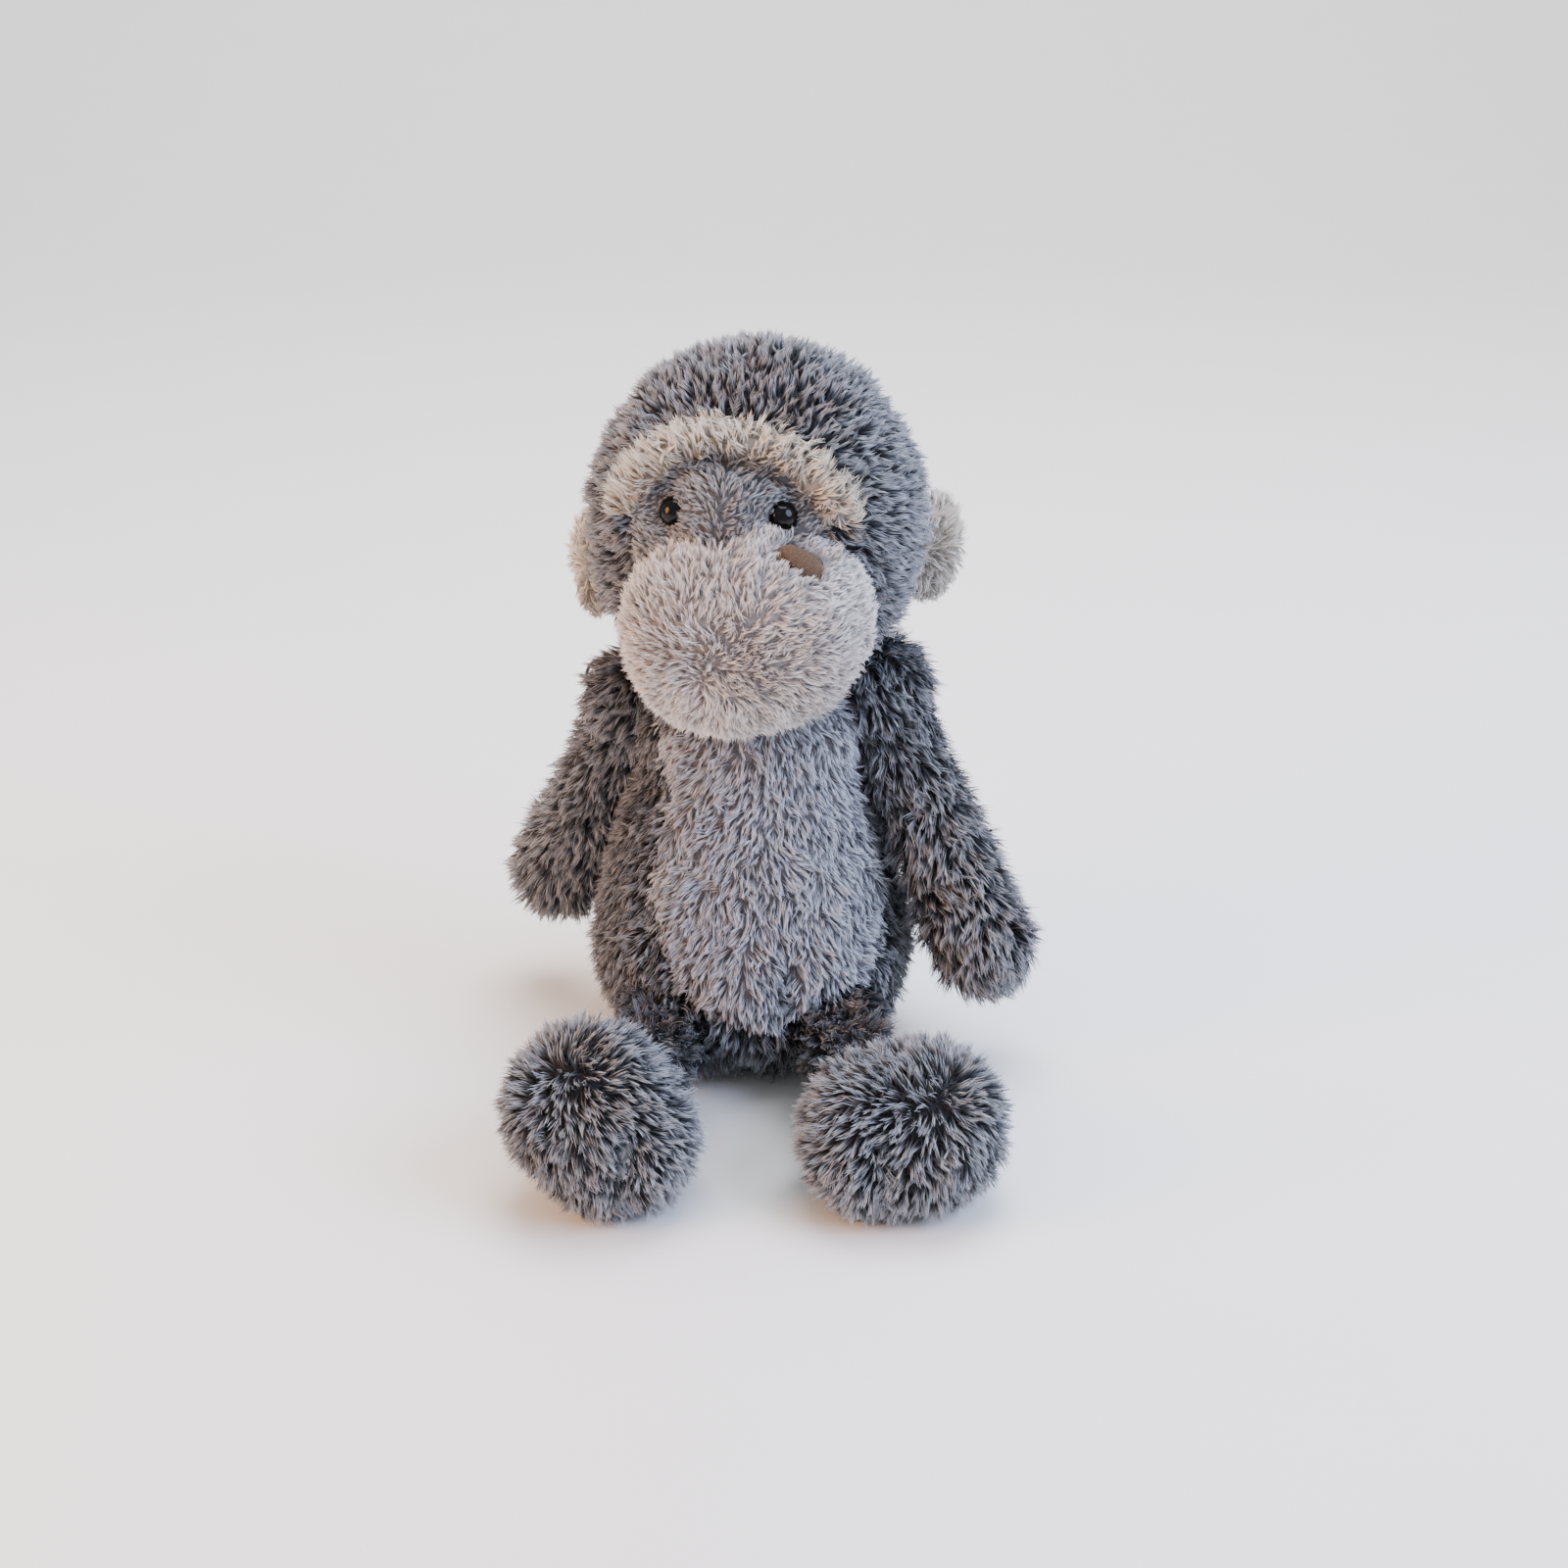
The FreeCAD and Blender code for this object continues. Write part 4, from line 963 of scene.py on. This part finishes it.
def build_head():
    plan = {                         # its style, its seed, its lock spacing and its patchiness
        "face_panel": (face_style, 60, 0.8, 0.3),
        "brow_panel": (brow_style, 70, 0.85, 0.4),
        "head_crown": (crown_style, 80, 1.18, 0.8),
        "head_side_left": (cheek_style, 90, 1.0, 0.8),
        "head_side_right": (cheek_style, 100, 1.0, 0.8),
    }
    shell = shaped(skin("head_skin", [*plan, "head_stuffing"]), sizes().sink, head_shape)
    for node, patch in panels(shell, list(plan)).items():
        plush(node, "head", patch, *plan[node])
    filling("head_filling", ["head_stuffing"], 2.5, "head", "polyester_fill")


# ---------------------------------------------------------------- muzzle and nose


def muzzle_shape(points, normals):
    """Swelled on top and on its left, except round the nose, which dimples it."""
    up, aside = np.clip(normals[:, 2], 0, 1), np.clip(normals[:, 0], 0, 1)
    swell = (1.2 + 3.4 * up + 2.6 * aside) * (1 - bell(points, centre("nose"), (10, 10, 10)))
    return points + normals * (swell + 0.8 * waves(points, 14, 21))[:, None]


MUZZLE_WHORL = np.array([-1, -74, -34])      # from the head's middle, along its own axes
FLATTENED = (1, 0.2, 1)              # takes most of the fore and aft out of a direction
NOSE_NEAR = (8, 10, 8)               # how far the nose shortens the pile round it


def muzzle_style(points, normals):
    """A whorl low on the muzzle, and shorter pile beside the nose, darkened there as painted shade in the
    dimple round it.
    """
    place = to_head(points)
    flow = (place - MUZZLE_WHORL) * FLATTENED
    stand = whorl(place, MUZZLE_WHORL, 26)
    near = bell(points, centre("nose"), NOSE_NEAR)
    pile = sizes().muzzle_length * (1.1 - 0.6 * near)
    # near also lowers the tone: painted shade in the dimple round the nose.
    return from_head(flow + NO_LENGTH), 0.06 + 0.24 * stand, pile, 0.5 - 0.25 * near


def muzzle_side_style(points, normals):
    """Shorter pile, combed back towards the face."""
    flow = (to_head(points) - MUZZLE_WHORL) * FLATTENED + np.array([0, 25, 0])
    near = bell(points, centre("nose"), NOSE_NEAR)
    pile = sizes().muzzle_length * (0.8 - 0.3 * near)
    # near also lowers the tone here: painted shade beside the nose.
    return from_head(flow + NO_LENGTH), 0.4, pile, 0.62 - 0.25 * near


def build_muzzle():
    plan = {                         # its style and its seed
        "muzzle_front_panel": (muzzle_style, 120),
        "muzzle_side_left": (muzzle_side_style, 130),
        "muzzle_side_right": (muzzle_side_style, 140),
    }
    shell = shaped(skin("muzzle_skin", list(plan), 1.6 * MM, 3), sizes().sink * 0.8, muzzle_shape)
    for node, patch in panels(shell, list(plan)).items():
        plush(node, "head", patch, *plan[node], spacing=0.85, patchy=0.35)


NOSE_LIFT = 1.7                      # how far the nose stands out over its packed place, in millimetres
WASHER_PUSH = 3.0                    # how far the stuffing presses a washer in, in millimetres


def build_nose():
    """The nose, eased, lifted through the pile and pressed in along its crease."""
    shell = skin("nose_skin", ["nose"], 0.5 * MM, 3)
    middle = centre("nose")
    out = unit(middle - head_frame()[0])
    local = points_of(shell) - middle
    slant = local @ unit(np.cross(out, (0.6, 0, -0.8)))
    crease = 1.1 * ridge(slant, -1.6, 0.7) * (local @ out > 0)
    set_points(shell, points_of(shell) + out * (NOSE_LIFT - crease)[:, None])
    shell.materials.clear()
    shell.materials.append(material_for("nose_suede"))
    piece = link("nose_suedette", shell)
    settle(piece, "head", "nose_suede", "nose")


def build_eyes():
    for side in SIDES:
        eye, washer = f"eye_{side}", f"eye_washer_{side}"
        finish_node(eye, "eye_plastic")
        inward = unit(centre(washer) - centre(eye))
        moved(washer, "washer_plastic", lambda points: points + inward * WASHER_PUSH)


def moved(node, slot, change):
    """A copy of a node's mesh with its points changed, which stands for the node."""
    mesh = frame["nodes"][node].data.copy()
    set_points(mesh, change(points_of(mesh)))
    mesh.materials.clear()
    mesh.materials.append(material_for(slot))
    settle(link(node + "_drawn_in", mesh), frame["nodes"][node]["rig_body"], slot, node)


def finish_node(node, slot):
    """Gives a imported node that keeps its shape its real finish."""
    mesh = frame["nodes"][node].data
    if not mesh.materials:
        mesh.materials.append(None)
    for index in range(len(mesh.materials)):
        mesh.materials[index] = material_for(slot)


# ---------------------------------------------------------------- ears


EAR_STRETCH = np.array([1.05, 1.0, 1.3])     # an ear is taller than it is wide
EAR_MOVE = {"left": np.array([-5.5, 1, -2]), "right": np.array([-2.0, -3, -3])}


def build_ears():
    for side, way in SIDES.items():
        front, back = f"ear_front_{side}", f"ear_back_{side}"
        packed, move = (centre(front) + centre(back)) / 2, EAR_MOVE[side]
        middle = packed + move

        def leaf(points, normals):
            inner = bell(points, packed + (0, -4, 0), (9, 6, 9))
            cupped = points + np.array([0, 1, 0]) * (2.5 * inner)[:, None]
            return packed + (cupped - packed) * EAR_STRETCH + move

        def rim(points, normals):
            out = points - middle
            height = np.clip((out[:, 2] + 6) / 12, 0, 1)
            stand = 0.1 + 0.4 * whorl(points, middle, 9)
            pile = sizes().ear_length * (0.75 + 0.25 * height)
            return out * (1, 0.6, 1) + NO_LENGTH, stand, pile, 0.15 + 0.6 * height

        shell = shaped(skin(f"ear_skin_{side}", [front, back], 1.2 * MM, 3), sizes().sink * 0.5, leaf)
        patches = panels(shell, [front, back], lambda points: -move)
        for index, node in enumerate((front, back)):
            plush(node, f"ear_{side}", patches[node], rim, 160 + index * 10 + way, spacing=0.9)


# ---------------------------------------------------------------- limbs


def along_limb(start, end):
    """A style combed from one end of a limb to the other, with longer and paler pile at the end."""
    run, reach = unit(end - start), np.linalg.norm(end - start)

    def style(points, normals):
        share = np.clip((points - start) @ run / reach, 0, 1)
        pile = sizes().arm_length * (0.85 + 0.15 * share)
        return np.broadcast_to(run, points.shape), 0.42, pile, 0.27 + 0.18 * share
    return style


HAND_RADIUS = 15
ARM_IN = {                           # how far an arm hangs in, at its shoulder and at its hand
    "left": ((0, 0, 0), (-1, 0, 0)),
    "right": ((5, 0, -6), (8.5, 0, 0)),
}


def build_arms():
    for side, way in SIDES.items():
        node = f"arm_skin_{side}"
        shoulder = pivot(f"arm_swing_{side}")

        def full(points, normals):
            top = bell(points, shoulder + (0, 0, 8), (20, 20, 16))
            hang = (shoulder[2] - points[:, 2]) / (shoulder[2] - hand(side)[2])
            share = np.clip(hang, 0, 1)[:, None]
            hung_in = np.array(ARM_IN[side][0]) * (1 - share) + np.array(ARM_IN[side][1]) * share
            return limp(points, normals) + normals * (3.0 * top)[:, None] + hung_in

        shell = shaped(skin(node + "_skin", [node, f"arm_stuffing_{side}"]), sizes().sink, full)
        plush(node, f"arm_{side}", shell, along_limb(shoulder, hand(side)), 200 + way * 10)
        filling(f"arm_filling_{side}", [f"arm_stuffing_{side}"], 2.5, f"arm_{side}", "polyester_fill", full)


def hand(side):
    """The middle of a hand, from the corner of the arm's box that is farthest from the shoulder."""
    low, high = (np.array(corner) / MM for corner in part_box(f"arm_skin_{side}"))
    shoulder = pivot(f"arm_swing_{side}")
    far = np.where(np.abs(low - shoulder) > np.abs(high - shoulder), low, high)
    return np.array([
        far[0] - HAND_RADIUS * SIDES[side], shoulder[1] + (far[1] - shoulder[1]) * 0.8,
        low[2] + HAND_RADIUS])


def limp(points, normals):
    """The soft uneven swells of a limb that is loosely stuffed."""
    return points + normals * (1.6 * waves(points, 22, 31))[:, None]


def build_legs():
    for side, way in SIDES.items():
        node = f"leg_skin_{side}"
        shell = shaped(skin(node + "_skin", [node, f"leg_stuffing_{side}"]), sizes().sink, limp)
        style = along_limb(pivot(f"leg_swing_{side}"), pivot(f"ankle_bend_{side}"))
        plush(node, f"leg_{side}", shell, style, 300 + way * 10, spacing=1.2)
        filling(f"leg_filling_{side}", [f"leg_stuffing_{side}"], 2.5, f"leg_{side}", "polyester_fill")


SOLE_WHORL = {"left": (13, -8, 25), "right": (-14, -6, 26)}   # from the middle of each sole
SOLE_DENT = {"left": (-6, -14, 3), "right": (8, -14, 1)}


def build_feet():
    for side, way in SIDES.items():
        nodes = [f"foot_sole_{side}", f"foot_upper_{side}"]
        stuffing, beans = f"foot_stuffing_{side}", f"foot_bean_bag_{side}"
        middle = centre(nodes[0])
        crest, dent = middle + SOLE_WHORL[side], middle + SOLE_DENT[side]

        def knead(points, normals):
            upper = bell(points, dent, (4, 12, 8))
            lower = bell(points, dent + (0, 0, -14), (3, 14, 9))
            return limp(points, normals) - normals * (6.0 * upper + 4.0 * lower)[:, None]

        def style(points, normals):
            stand = 0.04 + 0.3 * whorl(points, crest, 22)
            pale = bell(points, dent + (way * -7, -4, -12), (9, 12, 8))
            heart = bell(points, crest, (8, 8, 8))
            tone = 0.44 + 0.3 * pale + 0.3 * heart
            return points - crest + NO_LENGTH, stand, sizes().dark_length * 0.95, tone

        shell = shaped(skin(f"foot_skin_{side}", [*nodes, stuffing, beans]), sizes().sink, knead)
        patches = panels(shell, nodes)
        for index, node in enumerate(nodes):
            plush(node, f"foot_{side}", patches[node], style, 400 + way * 20 + index * 10)
        filling(f"foot_filling_{side}", [stuffing], 2.5, f"foot_{side}", "polyester_fill", knead)
        finish_node(beans, "pellets")


def build_threads():
    """Draws each limb's gathering thread in under the pile, and finishes the other threads."""
    for node in frame["nodes"]:
        if SLOT_OF[node] != "thread":
            continue
        if node.startswith(("shoulder", "hip")):
            middle = centre(node)
            moved(node, "thread", lambda points: middle + (points - middle) * THREAD_DRAWN)
        else:
            finish_node(node, "thread")


# ---------------------------------------------------------------- stage


FLOOR_FRONT, WALL_START, WALL_HALF, WALL_HEIGHT = -14.0, 1.6, 14.0, 8.0
SWEEP, SWEEP_STEPS = 1.2, 16         # the radius of the curve from the floor to the wall

def build_stage():
    profile = [(FLOOR_FRONT, 0.0), (WALL_START, 0.0)]
    for step in range(1, SWEEP_STEPS + 1):
        angle = step / SWEEP_STEPS * math.pi / 2
        profile.append((WALL_START + SWEEP * math.sin(angle), SWEEP * (1 - math.cos(angle))))
    profile.append((WALL_START + SWEEP, WALL_HEIGHT))
    verts = [(x, y, z) for y, z in profile for x in (-WALL_HALF, WALL_HALF)]
    faces = [(2 * i, 2 * i + 1, 2 * i + 3, 2 * i + 2) for i in range(len(profile) - 1)]
    mesh = bpy.data.meshes.new("backdrop")
    mesh.from_pydata(verts, [], faces)
    mesh.polygons.foreach_set("use_smooth", [True] * len(faces))
    # Uncoated paper: white and quite matt, with a faint cloudiness in its fibres.
    material, tree, shader = new_material(
        "matt_backdrop_paper", {"Roughness": 0.9, "Specular IOR Level": 0.1})
    place = add(tree, "ShaderNodeTexCoord")
    fibres = add(tree, "ShaderNodeTexNoise", {"Scale": 1 / (60 * MM), "Detail": 2.0, "Roughness": 0.55},
                 {"Vector": place.outputs["Object"]})
    base = np.array(colours().floor[:])
    worked(tree, shader, fibres.outputs["Fac"], [(0.3, tuple(base * 0.985)), (0.7, tuple(base))])
    mesh.materials.append(material)
    link("backdrop", mesh)

    world = bpy.data.worlds.new("studio")
    world.use_nodes = True
    world.node_tree.nodes["Background"].inputs["Color"].default_value = linear("#eef1f6")
    world.node_tree.nodes["Background"].inputs["Strength"].default_value = 0.85
    bpy.context.scene.world = world
    toy, wall = (0.0, -0.04, 0.12), (0.0, 2.8, 1.1)
    for name, place, aim, width, watts, shade in (
            ("warm lamp", (-1.0, -0.5, 0.55), toy, 0.6, 17.0, "#ffb676"),
            ("cool window", (1.0, -0.55, 0.9), toy, 1.0, 30.0, "#c3d5ff"),
            ("overhead", (0.15, 0.2, 1.5), toy, 1.2, 28.0, "#f6f8ff"),
            ("backdrop wash", (0.0, 0.9, 2.6), wall, 2.0, 60.0, "#ffffff")):
        data = bpy.data.lights.new(name, "AREA")
        data.shape, data.size, data.energy = "DISK", width, watts
        data.color = linear(shade)[:3]
        lamp = bpy.data.objects.new(name, data)
        lamp.location = place
        lamp.rotation_euler = (Vector(aim) - Vector(place)).to_track_quat("-Z", "Y").to_euler()
        bpy.context.scene.collection.objects.link(lamp)

    data = bpy.data.cameras.new("view")
    data.lens, data.sensor_width = 53.0, 36.0
    data.clip_start, data.clip_end = 0.01, 50
    eye = bpy.data.objects.new("view", data)
    target, away, tilt = Vector((0.011, 0.0, 0.093)), 0.780, math.radians(22)
    eye.location = target + Vector((0, -math.cos(tilt), math.sin(tilt))) * away
    eye.rotation_euler = (target - eye.location).to_track_quat("-Z", "Y").to_euler()
    bpy.context.scene.collection.objects.link(eye)
    bpy.context.scene.camera = eye


# ---------------------------------------------------------------- add-on


class APE_OT_stage(bpy.types.Operator):
    """Set out the floor, the lights and the camera"""
    bl_idname = "ape.stage"
    bl_label = "Stage"

    def execute(self, context):
        build_stage()
        return {"FINISHED"}


class APE_OT_torso(bpy.types.Operator):
    """Make the belly, the two body panels, the seat and what fills them"""
    bl_idname = "ape.torso"
    bl_label = "Torso"

    def execute(self, context):
        build_torso()
        return {"FINISHED"}


class APE_OT_head(bpy.types.Operator):
    """Make the crown, the cheeks, the brow and the face"""
    bl_idname = "ape.head"
    bl_label = "Head"

    def execute(self, context):
        build_head()
        return {"FINISHED"}


class APE_OT_muzzle(bpy.types.Operator):
    """Make the muzzle's round front panel and its two side panels"""
    bl_idname = "ape.muzzle"
    bl_label = "Muzzle"

    def execute(self, context):
        build_muzzle()
        return {"FINISHED"}


class APE_OT_nose(bpy.types.Operator):
    """Make the suedette nose"""
    bl_idname = "ape.nose"
    bl_label = "Nose"

    def execute(self, context):
        build_nose()
        return {"FINISHED"}


class APE_OT_eyes(bpy.types.Operator):
    """Finish the moulded eyes and their washers"""
    bl_idname = "ape.eyes"
    bl_label = "Eyes"

    def execute(self, context):
        build_eyes()
        return {"FINISHED"}


class APE_OT_ears(bpy.types.Operator):
    """Make the fluffy ears"""
    bl_idname = "ape.ears"
    bl_label = "Ears"

    def execute(self, context):
        build_ears()
        return {"FINISHED"}


class APE_OT_arms(bpy.types.Operator):
    """Make the shaggy arms"""
    bl_idname = "ape.arms"
    bl_label = "Arms"

    def execute(self, context):
        build_arms()
        return {"FINISHED"}


class APE_OT_legs(bpy.types.Operator):
    """Make the legs"""
    bl_idname = "ape.legs"
    bl_label = "Legs"

    def execute(self, context):
        build_legs()
        return {"FINISHED"}


class APE_OT_feet(bpy.types.Operator):
    """Make the feet, with their soles and uppers"""
    bl_idname = "ape.feet"
    bl_label = "Feet"

    def execute(self, context):
        build_feet()
        return {"FINISHED"}


class APE_OT_threads(bpy.types.Operator):
    """Finish the seams' threads and the closing stitches"""
    bl_idname = "ape.threads"
    bl_label = "Threads"

    def execute(self, context):
        build_threads()
        return {"FINISHED"}


STEPS = (
    APE_OT_stage, APE_OT_torso, APE_OT_head, APE_OT_muzzle, APE_OT_nose, APE_OT_eyes, APE_OT_ears,
    APE_OT_arms, APE_OT_legs, APE_OT_feet, APE_OT_threads)


class APE_PT_panel(bpy.types.Panel):
    """The ape's sizes, colours and steps"""
    bl_idname = "APE_PT_panel"
    bl_label = "Plush ape"
    bl_space_type = "VIEW_3D"
    bl_region_type = "UI"
    bl_category = "Plush"

    def draw(self, context):
        for group in (context.scene.ape_sizes, context.scene.ape_colours):
            column = self.layout.column(align=True)
            for name in group.__annotations__:
                column.prop(group, name)
        column = self.layout.column(align=True)
        for step in STEPS:
            column.operator(step.bl_idname)


CLASSES = (ApeSizes, ApeColours, *STEPS, APE_PT_panel)


def register():
    for item in CLASSES:
        bpy.utils.register_class(item)
    bpy.types.Scene.ape_sizes = PointerProperty(type=ApeSizes)
    bpy.types.Scene.ape_colours = PointerProperty(type=ApeColours)


def unregister():
    del bpy.types.Scene.ape_colours
    del bpy.types.Scene.ape_sizes
    for item in reversed(CLASSES):
        bpy.utils.unregister_class(item)


def main():
    register()
    for step in STEPS:
        getattr(bpy.ops.ape, step.bl_idname.split(".")[1])()
    for shape in list(bpy.data.collections["pile_locks"].objects):
        bpy.data.objects.remove(shape)
    bpy.data.collections.remove(bpy.data.collections["pile_locks"])


if __name__ == "__main__":
    main()
